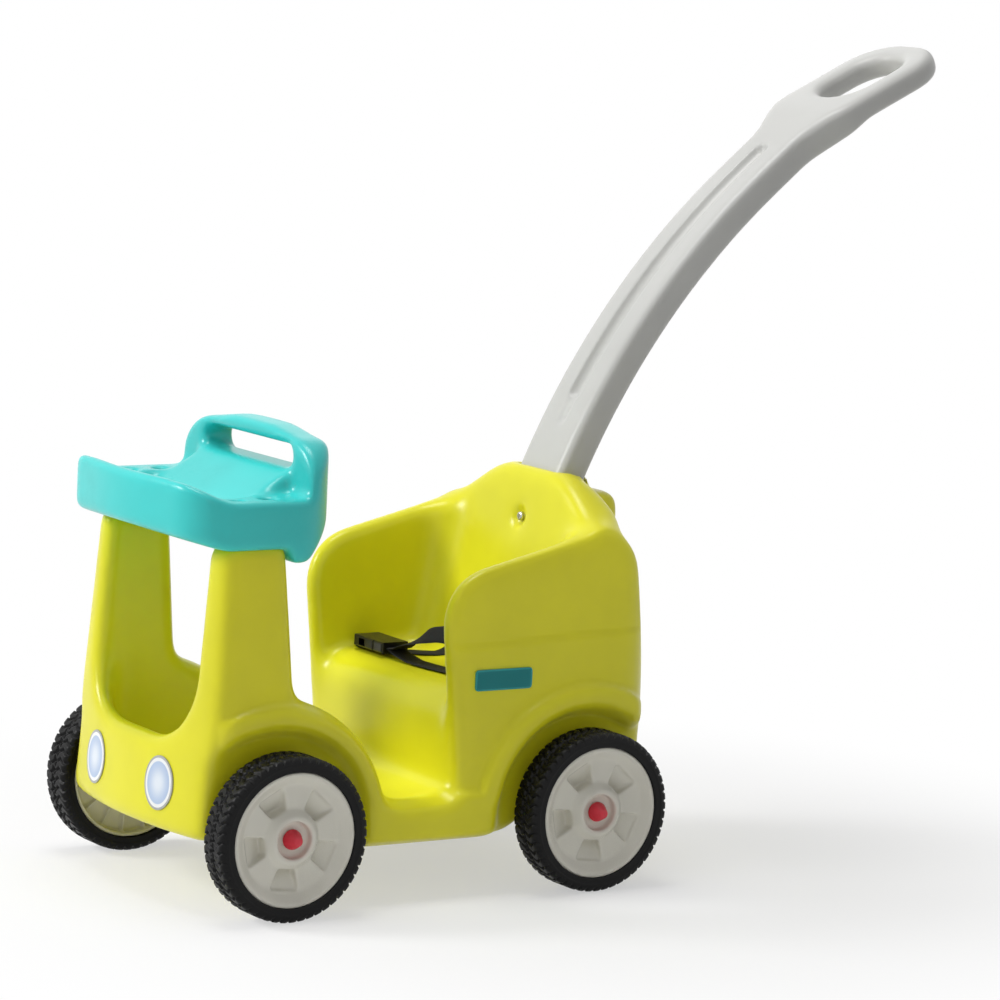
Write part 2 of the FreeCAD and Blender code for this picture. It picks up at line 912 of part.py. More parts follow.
# dash tray
def tray_plan():
    half = tray_width / 2
    sweep = math.radians(tray_sweep_deg)
    apex_y = front_y - tray_front_radius * (1 / math.cos(sweep) - 1)
    side_y = apex_y + half * math.tan(sweep)
    corners = [
        (-half, side_y, tray_front_corner),
        (0, apex_y, tray_front_radius),
        (half, side_y, tray_front_corner),
        (half, nose_y + tray_rear_setback, tray_rear_corner),
        (-half, nose_y + tray_rear_setback, tray_rear_corner),
    ]
    return rounded(corners, top_view)


# the lip hooks behind the pillars
def tray_lip_y():
    return pillar_rear_y(tray_lip_z) + rest_gap


def tray_side(drop):
    rear_y = nose_y + tray_rear_setback
    lip_y = tray_lip_y()
    corners = [
        (front_y - overrun, tray_bottom_z + tray_visor_lift, 0),
        (front_y, tray_bottom_z + tray_visor_lift, 0),
        (front_y + tray_visor_depth, tray_bottom_z, tray_visor_depth),
        (lip_y, tray_bottom_z, 0),
        (lip_y, tray_lip_z, 0),
        (lip_y + tray_lip_depth, tray_lip_z, 0),
        (rear_y, tray_skirt_z, 0),
        (rear_y, tray_rim_z, 0),
        (front_y + tray_visor_depth, tray_rim_z, tray_visor_depth),
        (front_y + tray_visor_drop, tray_visor_z, tray_visor_drop),
        (front_y - overrun, tray_visor_z - tray_visor_drop, 0),
    ]
    face = rounded(corners, side_view)
    face.translate(V(0, 0, -drop))
    return face


def tray_layer(margin, drop):
    solid = along_x(tray_side(drop), -tray_width, tray_width)
    return solid.common(along_z(grown(tray_plan(), -margin), 0, overall_height))


def grab_arch():
    half = arch_width / 2
    low = tray_rim_z - tray_dish_depth
    sweep = math.atan2(arch_drop, half)
    apex_z = arch_top_z + arch_top_radius * (1 / math.cos(sweep) - 1)
    side_z = apex_z - arch_drop
    outer = [
        (-half, low, 0),
        (half, low, 0),
        (half, side_z, arch_corner),
        (0, apex_z, arch_top_radius),
        (-half, side_z, arch_corner),
    ]
    hole_half = arch_hole_width / 2
    hole = [
        (-hole_half, arch_hole_z, arch_hole_corner),
        (hole_half, arch_hole_z, arch_hole_corner),
        (hole_half, arch_top_z - arch_bar, arch_hole_corner),
        (-hole_half, arch_top_z - arch_bar, arch_hole_corner),
    ]
    rear = nose_y + tray_rear_setback - arch_rear_gap
    front = rear - arch_depth
    opening = along_y(rounded(hole, front_view), front, rear)
    solid = along_y(rounded(outer, front_view), front, rear).cut(opening)
    solid = solid.makeFillet(arch_round, rim_edges(solid, AXIS_Y, above_tray))
    return solid.common(along_z(tray_plan(), 0, overall_height))


def above_tray(p):
    return p.z > tray_rim_z - tray_dish_depth + rest_gap


# the slope from the dish up to the foot of the arch's hole
def tray_ramp():
    arch_y = nose_y + tray_rear_setback - arch_rear_gap - arch_depth
    low = tray_rim_z - tray_dish_depth - tray_wall
    corners = [
        (arch_y - tray_ramp_run, low, 0),
        (arch_y + arch_depth / 2, low, 0),
        (arch_y + arch_depth / 2, arch_hole_z, 0),
        (arch_y, arch_hole_z, 0),
        (arch_y - tray_ramp_run, tray_rim_z - tray_dish_depth, 0),
    ]
    return along_x(rounded(corners, side_view), -tray_dish_width / 2, tray_dish_width / 2)


def dash_tray():
    solid = tray_layer(0, 0)
    bowl = along_z(grown(tray_plan(), -tray_rim), tray_bottom_z + tray_wall, overall_height)
    bowl = bowl.cut(along_x(tray_side(tray_dish_depth), -tray_width, tray_width))
    half = tray_dish_width / 2
    bowl = bowl.common(block((-half, front_y, 0), (half, tip_y, overall_height)))
    solid = solid.cut(bowl).fuse([grab_arch(), tray_ramp()])
    well_radius = tray_well_diameter / 2
    inside = tray_layer(tray_wall, tray_dish_depth + tray_wall)
    inside = inside.common(along_x(tray_side(-tray_wall), -tray_width, tray_width))
    low = (-tray_width, tray_lip_y(), 0)
    inside = inside.cut(block(low, (tray_width, tray_lip_y() + tray_wall, tray_bottom_z + tray_wall)))
    holes = []
    for point in tray_screw_points():
        inside = inside.cut(rod(well_radius + tray_wall, V(point.x, point.y, 0), AXIS_Z, overall_height))
        holes.append(rod(well_radius, point, AXIS_Z, overall_height))
        holes.append(shank_hole(point, AXIS_Z, screw_length))
    return solid.cut([inside] + holes)


# wheels: everything is turned about the axle; depth is measured inwards from the tyre's outer face
def turned(points, axle_y):
    places = [V(tyre_outer_x - depth, axle_y, axle_z + radius) for radius, depth in points]
    face = Part.Face(Part.makePolygon(places + [places[0]]))
    return face.revolve(V(0, axle_y, axle_z), AXIS_X, 360)


def hub_inner_depth():
    return tyre_outer_x - well_wall_x() - washer_thickness - side_play


def rim(axle_y):
    barrel = rim_diameter / 2
    lip = rim_inset
    disc = rim_inset + rim_dish_depth
    back = disc + pocket_depth + rim_web
    recess = rim_inset + hub_recess_depth
    hub = hub_diameter / 2
    profile = [
        (bore_radius, recess),
        (hub_recess_diameter / 2, recess),
        (hub_recess_diameter / 2, lip),
        (hub_top_diameter / 2, lip),
        (hub, disc),
        (barrel - rim_wall - rim_dish_run, disc),
        (barrel - rim_wall, lip),
        (barrel, lip),
        (barrel, tyre_width - lip),
        (barrel - rim_wall, tyre_width - lip),
        (barrel - rim_wall, back),
        (hub_core_diameter / 2, back),
        (hub_core_diameter / 2, hub_inner_depth()),
        (bore_radius, hub_inner_depth()),
    ]
    solid = turned(profile, axle_y)
    inner = hub + pocket_margin
    outer = barrel - rim_wall - rim_dish_run - pocket_margin
    share = math.pi * pocket_share / spoke_count
    pockets = []
    for step in range(spoke_count):
        middle = math.pi / 2 + math.radians(pocket_turn_deg) + 2 * math.pi * (step + 1 / 2) / spoke_count
        corners = []
        for radius, turn in ((inner, -share), (outer, -share), (outer, share), (inner, share)):
            angle = middle + turn
            place = (axle_y + radius * math.cos(angle), axle_z + radius * math.sin(angle), pocket_round)
            corners.append(place)
        low = tyre_outer_x - disc - pocket_depth
        pockets.append(along_x(rounded(corners, side_view), low, tyre_outer_x))
    floors = [(0, 0), (barrel, 0), (barrel, disc + pocket_rim_depth), (outer, disc + pocket_rim_depth)]
    floors += [(inner, disc + pocket_depth), (0, disc + pocket_depth)]
    solid = solid.cut(turned(floors, axle_y).common(Part.makeCompound(pockets)))
    ribs = []
    for step in range(rib_count):
        low = (tyre_outer_x - tyre_width + rib_setback, axle_y + hub_core_diameter / 2 - rib_thickness)
        rib = block(
            (low[0], low[1], axle_z - rib_thickness / 2),
            (tyre_outer_x - back, axle_y + barrel - rim_wall / 2, axle_z + rib_thickness / 2),
        )
        rib.rotate(V(0, axle_y, axle_z), AXIS_X, 360 * step / rib_count)
        ribs.append(rib)
    return solid.fuse(ribs)


def tyre(axle_y):
    inner = rim_diameter / 2 + tyre_fit
    corners = [
        (tyre_outer_x, axle_z + inner, 0),
        (tyre_outer_x, axle_z + wheel_radius, tyre_edge_radius),
        (tyre_inner_x, axle_z + wheel_radius, tyre_edge_radius),
        (tyre_inner_x, axle_z + inner, 0),
    ]
    face = rounded(corners, front_view)
    face.translate(V(0, axle_y, 0))
    solid = face.revolve(V(0, axle_y, axle_z), AXIS_X, 360)
    middle_x = (tyre_outer_x + tyre_inner_x) / 2
    half = tread_groove_width / 2
    low = axle_z + wheel_radius - tread_depth
    grooves = []
    for step in range(tread_grooves):
        for side in sides.values():
            groove = block((0, axle_y - half, low), (tyre_width, axle_y + half, low + 2 * tread_depth))
            groove.translate(V(middle_x, 0, 0))
            groove.rotate(V(middle_x, axle_y, low), AXIS_Z, 90 - 90 * side + side * tread_slant_deg)
            groove.rotate(V(0, axle_y, axle_z), AXIS_X, 360 * (step + side / 4) / tread_grooves)
            grooves.append(groove)
    return solid.cut(grooves)


def axle_end_x():
    return overall_width / 2 - cap_rim


def axle(axle_y):
    return rod(axle_radius, V(-axle_end_x(), axle_y, axle_z), AXIS_X, 2 * axle_end_x())


# a cone-shaped cap pressed on the axle's end, its base just clear of the hub
def axle_cap(axle_y):
    base = rim_inset + hub_recess_depth - side_play
    tip = -cap_proud
    radius = cap_diameter / 2
    nose = cap_nose_diameter / 2
    profile = [
        (bore_radius, base),
        (radius, base),
        (radius, base - cap_rim),
        (nose, tip + cap_nose_round),
        (nose - cap_nose_round, tip),
        (0, tip),
        (0, tyre_outer_x - axle_end_x()),
        (bore_radius, tyre_outer_x - axle_end_x()),
    ]
    return turned(profile, axle_y)


def washer(axle_y):
    start = V(well_wall_x(), axle_y, axle_z)
    solid = rod(washer_diameter / 2, start, AXIS_X, washer_thickness)
    return solid.cut(rod(bore_radius, start, AXIS_X, washer_thickness))


# lights and badges
def headlight(x):
    ellipse = Part.Ellipse(V(x, 0, light_z), light_height / 2, light_width / 2)
    ellipse.Axis = AXIS_Y
    ellipse.XAxis = AXIS_Z
    face = Part.Face(Part.Wire(ellipse.toShape()))
    reach = along_y(face, nose_y - overrun, front_axle_y)
    return nose_cone(-light_gap - light_thickness).cut(nose_cone(-light_gap)).common(reach)


def badge():
    low = nose_y + badge_setback
    high = low + badge_length
    plan = [
        (side_x(low), low, 0),
        (side_x(high), high, 0),
        (side_x(high) + badge_thickness, high, 0),
        (side_x(low) + badge_thickness, low, 0),
    ]
    side = [
        (low, badge_z, badge_corner),
        (high, badge_z, badge_corner),
        (high, badge_z + badge_height, badge_corner),
        (low, badge_z + badge_height, badge_corner),
    ]
    solid = along_z(rounded(plan, top_view), badge_z, badge_z + badge_height)
    return solid.common(along_x(rounded(side, side_view), 0, body_width))


# seat belt
def buckle_y():
    return nose_y + buckle_setback


def buckle_bottom():
    return seat_z + buckle_lift


def buckle_block(low_x, high_x, margin):
    half = buckle_width / 2 - margin
    low = buckle_bottom() + margin
    high = buckle_bottom() + buckle_height - margin
    return block((low_x, buckle_y() - half, low), (high_x, buckle_y() + half, high))


def housing_mouth_x():
    return buckle_left_x + buckle_length


def plug_base_x():
    return housing_mouth_x() + plug_gap


def plug_end_x():
    return plug_base_x() + plug_base_length


def buckle_housing():
    solid = buckle_block(buckle_left_x, housing_mouth_x(), 0)
    solid = solid.makeFillet(buckle_round, rim_edges(solid, AXIS_Y, anywhere))
    cavity = buckle_block(buckle_left_x + buckle_end_wall, housing_mouth_x(), buckle_wall)
    high = housing_mouth_x() - window_setback
    windows = block(
        (high - window_length, buckle_y() - buckle_width, buckle_bottom() + buckle_wall),
        (high, buckle_y() + buckle_width, buckle_bottom() + buckle_height - buckle_wall),
    )
    return solid.cut([cavity, windows])


def anywhere(p):
    return True


def arm_middle():
    return buckle_width / 2 - buckle_wall - plug_gap - arm_width / 2


def arm_eye(side):
    return V(plug_base_x() + arm_eye_setback, buckle_y() + side * arm_middle(), buckle_bottom())


def buckle_plug():
    solid = buckle_block(plug_base_x(), plug_end_x(), 0)
    solid = solid.makeFillet(buckle_round, rim_edges(solid, AXIS_Y, anywhere))
    tip = plug_base_x() - plug_tongue_length
    tongue = buckle_block(tip, plug_base_x() + buckle_round, buckle_wall + plug_gap)
    half = plug_tongue_width / 2
    tongue = tongue.common(block(
        (buckle_left_x, buckle_y() - half, 0),
        (plug_end_x(), buckle_y() + half, overall_height),
    ))
    solid = solid.fuse(tongue)
    slots = []
    for side in sides.values():
        eye = arm_eye(side) + V(0, 0, buckle_wall)
        height = buckle_height - 2 * buckle_wall
        slots.append(rod(arm_eye_diameter / 2 + plug_gap, eye, AXIS_Z, height))
        half = arm_width / 2 + arm_slot_gap
        slots.append(block(
            (plug_base_x() - plug_gap, eye.y - half, eye.z),
            (eye.x, eye.y + half, eye.z + height),
        ))
    return solid.cut(slots)


def buckle_arm(side):
    eye = arm_eye(side)
    low = buckle_bottom() + buckle_wall + plug_gap
    high = buckle_bottom() + buckle_height - buckle_wall - plug_gap
    half = arm_width / 2
    bar = block((eye.x - arm_length, eye.y - half, low), (eye.x, eye.y + half, high))
    pin = rod(arm_eye_diameter / 2, V(eye.x, eye.y, low), AXIS_Z, high - low)
    return bar.fuse(pin)


def strap_lift():
    return webbing_thickness / 2 + rest_gap


def strap_path(plan_shares, start_x, end_x):
    front = nose_y + seat_front_setback
    depth = back_y(seat_z) - front
    points = []
    across = []
    for x_share, depth_share, lift_share, turn in plan_shares:
        lift = strap_lift() + lift_share * buckle_height
        x = start_x + (end_x - start_x) * x_share
        points.append(V(x, front + depth * depth_share, seat_z + lift))
        across.append(math.radians(turn))
    half = (math.pi / 2 + math.radians(seat_back_lean_deg)) / 2
    centre = V(end_x, back_y(seat_z) - seat_back_radius / math.tan(half), seat_z + seat_back_radius)
    for deg in strap_fillet_degs:
        way = V(0, math.cos(math.radians(deg)), math.sin(math.radians(deg)))
        points.append(centre + way * (seat_back_radius - strap_lift()))
        across.append(math.pi)
    for z in (anchor_z - webbing_width / 2, anchor_z, anchor_z + webbing_width / 2):
        points.append(back_point(end_x, z, strap_lift()))
        across.append(math.pi)
    return points, across


# a flat strap through the points, its width turned to the given directions
def strap(points, across):
    knots = [0]
    for a, b in zip(points, points[1:]):
        knots.append(knots[-1] + (b - a).Length)
    curve = Part.BSplineCurve()
    curve.interpolate(Points=points, Parameters=knots)
    turns = Part.BSplineCurve()
    turns.interpolate(Points=[V(k, a, 0) for k, a in zip(knots, across)], Parameters=knots)
    wires = []
    for step in range(strap_steps + 1):
        at = knots[-1] * step / strap_steps
        way = V(curve.tangent(at)[0])
        turn = turns.value(at).y
        side = V(math.cos(turn), math.sin(turn), 0)
        side = (side - way * side.dot(way)).normalize() * (webbing_width / 2)
        up = way.cross(side).normalize() * (webbing_thickness / 2)
        middle = curve.value(at)
        ring = [middle + side + up, middle - side + up, middle - side - up, middle + side - up]
        wires.append(Part.makePolygon(ring + [ring[0]]))
    return Part.makeLoft(wires, True, True)


def belt_strap(start, plan_shares, start_x, end_x):
    points, across = strap_path(plan_shares, start_x, end_x)
    solid = strap([start] + points, [across[0]] + across)
    top = back_point(end_x, anchor_z, overrun)
    return solid.cut(rod(screw_shank_diameter / 2 + screw_fit, top, back_normal() * -1, 2 * overrun))


def anchor_washer(point):
    way = back_normal()
    solid = rod(anchor_washer_diameter / 2, point, way, anchor_washer_thickness)
    return solid.cut(rod(screw_shank_diameter / 2 + screw_fit, point, way, anchor_washer_thickness))


def export_all():
    export(body_shell(), "body_shell")
    export(dash_tray(), "dash_tray")
    export(push_handle(), "push_handle")
    export(Part.makeCompound([screw(p, AXIS_Z, screw_length) for p in tray_screw_points()]), "tray_screws")
    export(screw(handle_screw_start(), AXIS_Y * -1, handle_screw_length), "handle_screw")
    nut = rod(nut_diameter / 2, nut_front(), AXIS_Y, nut_length)
    nut = nut.cut(rod(screw_shank_diameter / 2 + screw_fit, nut_front(), AXIS_Y, nut_length))
    export(nut, "handle_nut")
    washers = []
    for end, axle_y in axle_ys.items():
        export(axle(axle_y), end + "_axle")
        pieces = {"rim": rim(axle_y), "tyre": tyre(axle_y), "axle_cap": axle_cap(axle_y)}
        for piece, shape in pieces.items():
            export(shape, end + "_left_" + piece)
            export(mirrored(shape), end + "_right_" + piece)
        washers += [washer(axle_y), mirrored(washer(axle_y))]
    export(Part.makeCompound(washers), "axle_washers")
    for side, sign in sides.items():
        export(headlight(sign * light_x), "headlight_" + side)
        export(buckle_arm(sign), "buckle_arm_" + arm_names[sign])
    export(badge(), "badge_left")
    export(mirrored(badge()), "badge_right")
    export(buckle_housing(), "buckle_housing")
    export(buckle_plug(), "buckle_plug")
    end_gap = webbing_thickness / 2 + rest_gap
    left_start = V(plug_end_x() + end_gap, buckle_y(), buckle_bottom() + buckle_height / 2)
    right_start = V(buckle_left_x - end_gap, buckle_y(), buckle_bottom() + buckle_height / 2)
    left = belt_strap(left_start, belt_left_plan_shares, plug_end_x(), anchor_x)
    export(left, "belt_strap_left")
    right = belt_strap(right_start, belt_right_plan_shares, -tub_half_width, -anchor_x)
    export(right, "belt_strap_right")
    washer_lift = webbing_thickness + 2 * rest_gap
    washers = [anchor_washer(p) for p in anchor_points(washer_lift)]
    export(Part.makeCompound(washers), "belt_anchor_washers")
    heads = anchor_points(washer_lift + anchor_washer_thickness)
    screws = [screw(p, back_normal(), anchor_screw_length) for p in heads]
    export(Part.makeCompound(screws), "belt_anchor_screws")


export_all()
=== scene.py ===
import math

import bpy
import numpy as np
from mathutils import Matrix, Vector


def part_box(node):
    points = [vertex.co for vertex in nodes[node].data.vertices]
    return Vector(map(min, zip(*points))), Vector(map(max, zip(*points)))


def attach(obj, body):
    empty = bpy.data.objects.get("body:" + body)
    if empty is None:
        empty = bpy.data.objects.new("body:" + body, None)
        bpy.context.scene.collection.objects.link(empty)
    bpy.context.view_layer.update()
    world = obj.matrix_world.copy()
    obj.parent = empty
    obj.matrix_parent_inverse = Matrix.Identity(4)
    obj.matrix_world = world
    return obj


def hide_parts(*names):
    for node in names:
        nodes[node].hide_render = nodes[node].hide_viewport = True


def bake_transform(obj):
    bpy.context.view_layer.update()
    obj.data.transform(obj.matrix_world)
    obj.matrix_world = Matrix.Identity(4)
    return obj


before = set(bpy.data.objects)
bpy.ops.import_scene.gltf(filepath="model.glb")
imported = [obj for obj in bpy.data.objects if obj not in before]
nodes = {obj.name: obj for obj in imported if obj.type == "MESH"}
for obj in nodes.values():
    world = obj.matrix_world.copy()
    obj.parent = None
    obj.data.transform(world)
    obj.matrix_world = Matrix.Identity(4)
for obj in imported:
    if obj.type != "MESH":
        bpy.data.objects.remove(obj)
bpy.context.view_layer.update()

import openvdb
from mathutils import Matrix, Vector

print("frame loaded, nodes:", len(nodes))


# camera, at the photograph's viewing angle
view = {
    "eye": (3.8717, -2.5749, 1.0557),
    "azimuth": 56.74,
    "elevation": 8.06,
    "roll": 2.80,
    "lens": 149.96,
    "sensor": 36.0,
    "shift": (-0.00065, 0.00637),
    "reach": 50,
}


def placeCamera():
    turn, rise, roll = (math.radians(view[k]) for k in ("azimuth", "elevation", "roll"))
    back = Vector((math.sin(turn) * math.cos(rise), -math.cos(turn) * math.cos(rise), math.sin(rise)))
    right = Vector((math.cos(turn), math.sin(turn), 0))
    up = back.cross(right)
    across = right * math.cos(roll) + up * math.sin(roll)
    upright = up * math.cos(roll) - right * math.sin(roll)
    data = bpy.data.cameras.new("camera")
    data.lens, data.sensor_width = view["lens"], view["sensor"]
    data.shift_x, data.shift_y = view["shift"]
    data.clip_end = view["reach"]
    camera = bpy.data.objects.new("camera", data)
    turned = Matrix((across, upright, back)).transposed().to_4x4()
    camera.matrix_world = Matrix.Translation(view["eye"]) @ turned
    bpy.context.scene.collection.objects.link(camera)
    bpy.context.scene.camera = camera


# a socket with arithmetic: each operator adds a Math node, and node() adds any other
class Wire:
    def __init__(self, tree, socket):
        self.tree = tree
        self.socket = socket

    def node(self, kind, settings, values, out=0):
        made = self.tree.nodes.new(kind)
        for name, value in settings.items():
            setattr(made, name, value)
        for name, value in values.items():
            if isinstance(value, Wire):
                self.tree.links.new(value.socket, made.inputs[name])
            else:
                made.inputs[name].default_value = value
        return Wire(self.tree, made.outputs[out])

    def maths(self, operation, first, second=0.0):
        return self.node("ShaderNodeMath", {"operation": operation}, {0: first, 1: second})

    def __add__(self, other):
        return self.maths("ADD", self, other)

    __radd__ = __add__

    def __sub__(self, other):
        return self.maths("SUBTRACT", self, other)

    def __rsub__(self, other):
        return self.maths("SUBTRACT", other, self)

    def __mul__(self, other):
        return self.maths("MULTIPLY", self, other)

    def __truediv__(self, other):
        return self.maths("DIVIDE", self, other)

    def __abs__(self):
        return self.maths("ABSOLUTE", self)

    def over(self, low, high):    # 0 below low, 1 above high, smooth between
        values = {"Value": self, "From Min": low, "From Max": high}
        return self.node("ShaderNodeMapRange", {"interpolation_type": "SMOOTHSTEP"}, values)

    def noise(self, scale, detail=2.0):
        return self.node("ShaderNodeTexNoise", {}, {"Vector": self, "Scale": scale, "Detail": detail})

    def parts(self):
        split = self.node("ShaderNodeSeparateXYZ", {}, {"Vector": self})
        return [Wire(self.tree, s) for s in split.socket.node.outputs]

    def mix(self, low, high):
        settings = {"data_type": "RGBA"}
        return self.node("ShaderNodeMix", settings, {"Factor": self, 6: low, 7: high}, 2)


def newFinish(name, kind="Object"):
    material = bpy.data.materials.new(name)
    material.use_nodes = True
    tree = material.node_tree
    where = tree.nodes.new("ShaderNodeTexCoord").outputs[kind]
    shader = tree.nodes["Principled BSDF"]
    return material, Wire(tree, where), shader


def setShader(shader, **values):
    names = {"colour": "Base Color", "rough": "Roughness", "metal": "Metallic", "normal": "Normal",
             "specular": "Specular IOR Level"}
    for key, value in values.items():
        socket = shader.inputs[names[key]]
        if isinstance(value, Wire):
            value.tree.links.new(value.socket, socket)
        else:
            socket.default_value = value


def bumped(where, height, strength, distance):
    return where.node("ShaderNodeBump", {}, {"Height": height, "Strength": strength, "Distance": distance})


def scaled(colour, factor):
    return tuple(min(c * factor, 1) for c in colour) + (1,)


# moulded plastic: broad cloudy shade, a pebbled skin and a gloss that drifts a little
plasticDetail = {"cloudScale": 7.0, "cloudSpan": (0.3, 0.7), "skinScale": 520.0, "fineScale": 1700.0,
                 "skinDepth": 0.00035, "specular": 0.36}


def mouldedPlastic(name, colour, rough, cloud=0.05, skin=0.18):
    material, where, shader = newFinish(name)
    d = plasticDetail
    clouds = where.noise(d["cloudScale"], 3)
    pebbles = where.noise(d["skinScale"], 2)
    fine = where.noise(d["fineScale"], 1)
    tone = clouds.over(*d["cloudSpan"]).mix(scaled(colour, 1 - cloud), scaled(colour, 1 + cloud))
    setShader(shader, colour=tone, rough=rough - 0.05 + clouds * 0.06 + fine * 0.05, specular=d["specular"],
              normal=bumped(where, pebbles * 0.7 + fine * 0.3, skin, d["skinDepth"]))
    return material


# tyre rubber: near black, with patches of dust and a fine grain
rubberDetail = {"dustScale": 38, "dustSpan": (0.45, 0.8), "grainScale": 1400, "grainDepth": 0.0003,
                "clean": (0.0035, 0.0035, 0.0038, 1), "dusty": (0.007, 0.0068, 0.0066, 1), "specular": 0.16}


def tyreRubber(name):
    material, where, shader = newFinish(name)
    d = rubberDetail
    dust = where.noise(d["dustScale"], 4).over(*d["dustSpan"])
    grain = where.noise(d["grainScale"], 2)
    setShader(shader, colour=dust.mix(d["clean"], d["dusty"]), rough=0.36 + dust * 0.14 + grain * 0.08,
              specular=d["specular"], normal=bumped(where, grain, 0.25, d["grainDepth"]))
    return material


# plated steel: faint streaks in shade and gloss
steelDetail = {"streakScale": 260, "streakDepth": 0.0002, "dull": (0.5, 0.5, 0.5, 1),
               "bright": (0.72, 0.72, 0.71, 1)}


def platedSteel(name):
    material, where, shader = newFinish(name)
    d = steelDetail
    streak = where.noise(d["streakScale"], 4)
    setShader(shader, colour=streak.mix(d["dull"], d["bright"]), metal=1.0, rough=0.22 + streak * 0.14,
              normal=bumped(where, streak, 0.15, d["streakDepth"]))
    return material


# woven strap: twill ribs from the UV map, which holds metres across and along the webbing
webbing = {"width": 0.025, "thick": 0.0016, "rib": 0.0017, "rowShare": 0.8, "border": (0.0105, 0.0113),
           "depth": 0.0004, "dark": (0.004, 0.004, 0.0045, 1), "pale": (0.013, 0.013, 0.014, 1)}


def wovenStrap(name):
    material, where, shader = newFinish(name, "UV")
    across, along = where.parts()[:2]
    turns = 2 * math.pi / webbing["rib"]
    ribs = where.maths("SINE", (along + abs(across)) * turns)
    rows = where.maths("SINE", across * (turns * webbing["rowShare"]))
    border = abs(across).over(*webbing["border"])
    weave = ribs * 0.3 + rows * 0.15 + 0.5 - border * 0.25
    setShader(shader, colour=weave.over(0.1, 0.9).mix(webbing["dark"], webbing["pale"]),
              rough=0.72 + weave * 0.14, specular=0.3, normal=bumped(where, weave, 0.6, webbing["depth"]))
    return material


# printed oval: a pale middle that turns blue outwards, a white line and a grey rim, placed at shares of its
# half size
lampDetail = {"glow": (0.1, 0.8), "line": (0.77, 0.8), "rim": (0.9, 0.93), "pale": (0.78, 0.84, 0.93, 1),
              "blue": (0.46, 0.58, 0.8, 1), "white": (0.9, 0.91, 0.92, 1), "grey": (0.42, 0.43, 0.43, 1),
              "hazeScale": 300}


def lampFilm(name):
    d = lampDetail
    low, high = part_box("headlight_left")
    middle, half = (low + high) / 2, (high - low) / 2
    material, where, shader = newFinish(name)
    x, z = where.parts()[::2]
    u = (abs(x) - middle.x) / half.x
    v = (z - middle.z) / half.z
    away = where.maths("SQRT", u * u + v * v)
    glow = away.over(*d["glow"]).mix(d["pale"], d["blue"])
    lined = away.over(*d["line"]).mix(glow, d["white"])
    rimmed = away.over(*d["rim"]).mix(lined, d["grey"])
    setShader(shader, colour=rimmed, rough=0.22 + where.noise(d["hazeScale"], 2) * 0.06)
    return material


# plain teal plate with a thin lighter border
badgeDetail = {"border": (0.0016, 0.0022), "edge": (0.03, 0.33, 0.34, 1), "plate": (0.004, 0.2, 0.21, 1),
               "grainScale": 600, "grainDepth": 0.0002}


def badgePlate(name):
    d = badgeDetail
    low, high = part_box("badge_left")
    middle, half = (low + high) / 2, (high - low) / 2
    material, where, shader = newFinish(name)
    y, z = where.parts()[1:]
    inset = where.maths("MINIMUM", half.y - abs(y - middle.y), half.z - abs(z - middle.z))
    grain = where.noise(d["grainScale"], 2)
    setShader(shader, colour=inset.over(*d["border"]).mix(d["edge"], d["plate"]), rough=0.3 + grain * 0.08,
              specular=0.25, normal=bumped(where, grain, 0.1, d["grainDepth"]))
    return material


finishes = {
    "shell": mouldedPlastic("shell_yellow", (0.80, 0.755, 0.018), 0.3),
    "tray": mouldedPlastic("tray_turquoise", (0.045, 0.62, 0.6), 0.28),
    "handle": mouldedPlastic("handle_grey", (0.56, 0.56, 0.54), 0.34, 0.03),
    "rim": mouldedPlastic("rim_grey", (0.74, 0.72, 0.64), 0.26, 0.03, 0.08),
    "cap": mouldedPlastic("cap_red", (0.74, 0.035, 0.06), 0.24, 0.04, 0.06),
    "buckle": mouldedPlastic("buckle_black", (0.007, 0.007, 0.0075), 0.3, 0.05, 0.2),
    "tyre": tyreRubber("tyre_black"),
    "steel": platedSteel("plated_steel"),
    "strap": wovenStrap("strap_black"),
    "lamp": lampFilm("lamp_film"),
    "badge": badgePlate("badge_teal"),
}
print("finishes made:", len(finishes))


def addPiece(name, points, faces, finish, body):
    mesh = bpy.data.meshes.new(name)
    mesh.from_pydata(points.tolist(), [], faces.tolist())
    mesh.polygons.foreach_set("use_smooth", np.full(len(mesh.polygons), True))
    mesh.materials.append(finishes[finish])
    mesh.update()
    piece = bpy.data.objects.new(name, mesh)
    bpy.context.scene.collection.objects.link(piece)
    if body:
        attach(piece, body)
    return piece


def triangles(node):
    mesh = nodes[node].data
    mesh.calc_loop_triangles()
    points = np.empty(len(mesh.vertices) * 3, np.float32)
    mesh.vertices.foreach_get("co", points)
    corners = np.empty(len(mesh.loop_triangles) * 3, np.int32)
    mesh.loop_triangles.foreach_get("vertices", corners)
    return points.reshape(-1, 3), corners.reshape(-1, 3)


# A moulded shell. The solid is sampled on a grid, its sealed hollow and plugged holes are filled, and the
# filled share of each cell is blurred by a Gaussian, so that every edge gets a soft radius. Its half level is
# the surface. Sizes are in cells, and the blur's reach is in its own widths.
mouldSizes = {"band": 3.0, "wallCells": 0.55, "blurReach": 3}


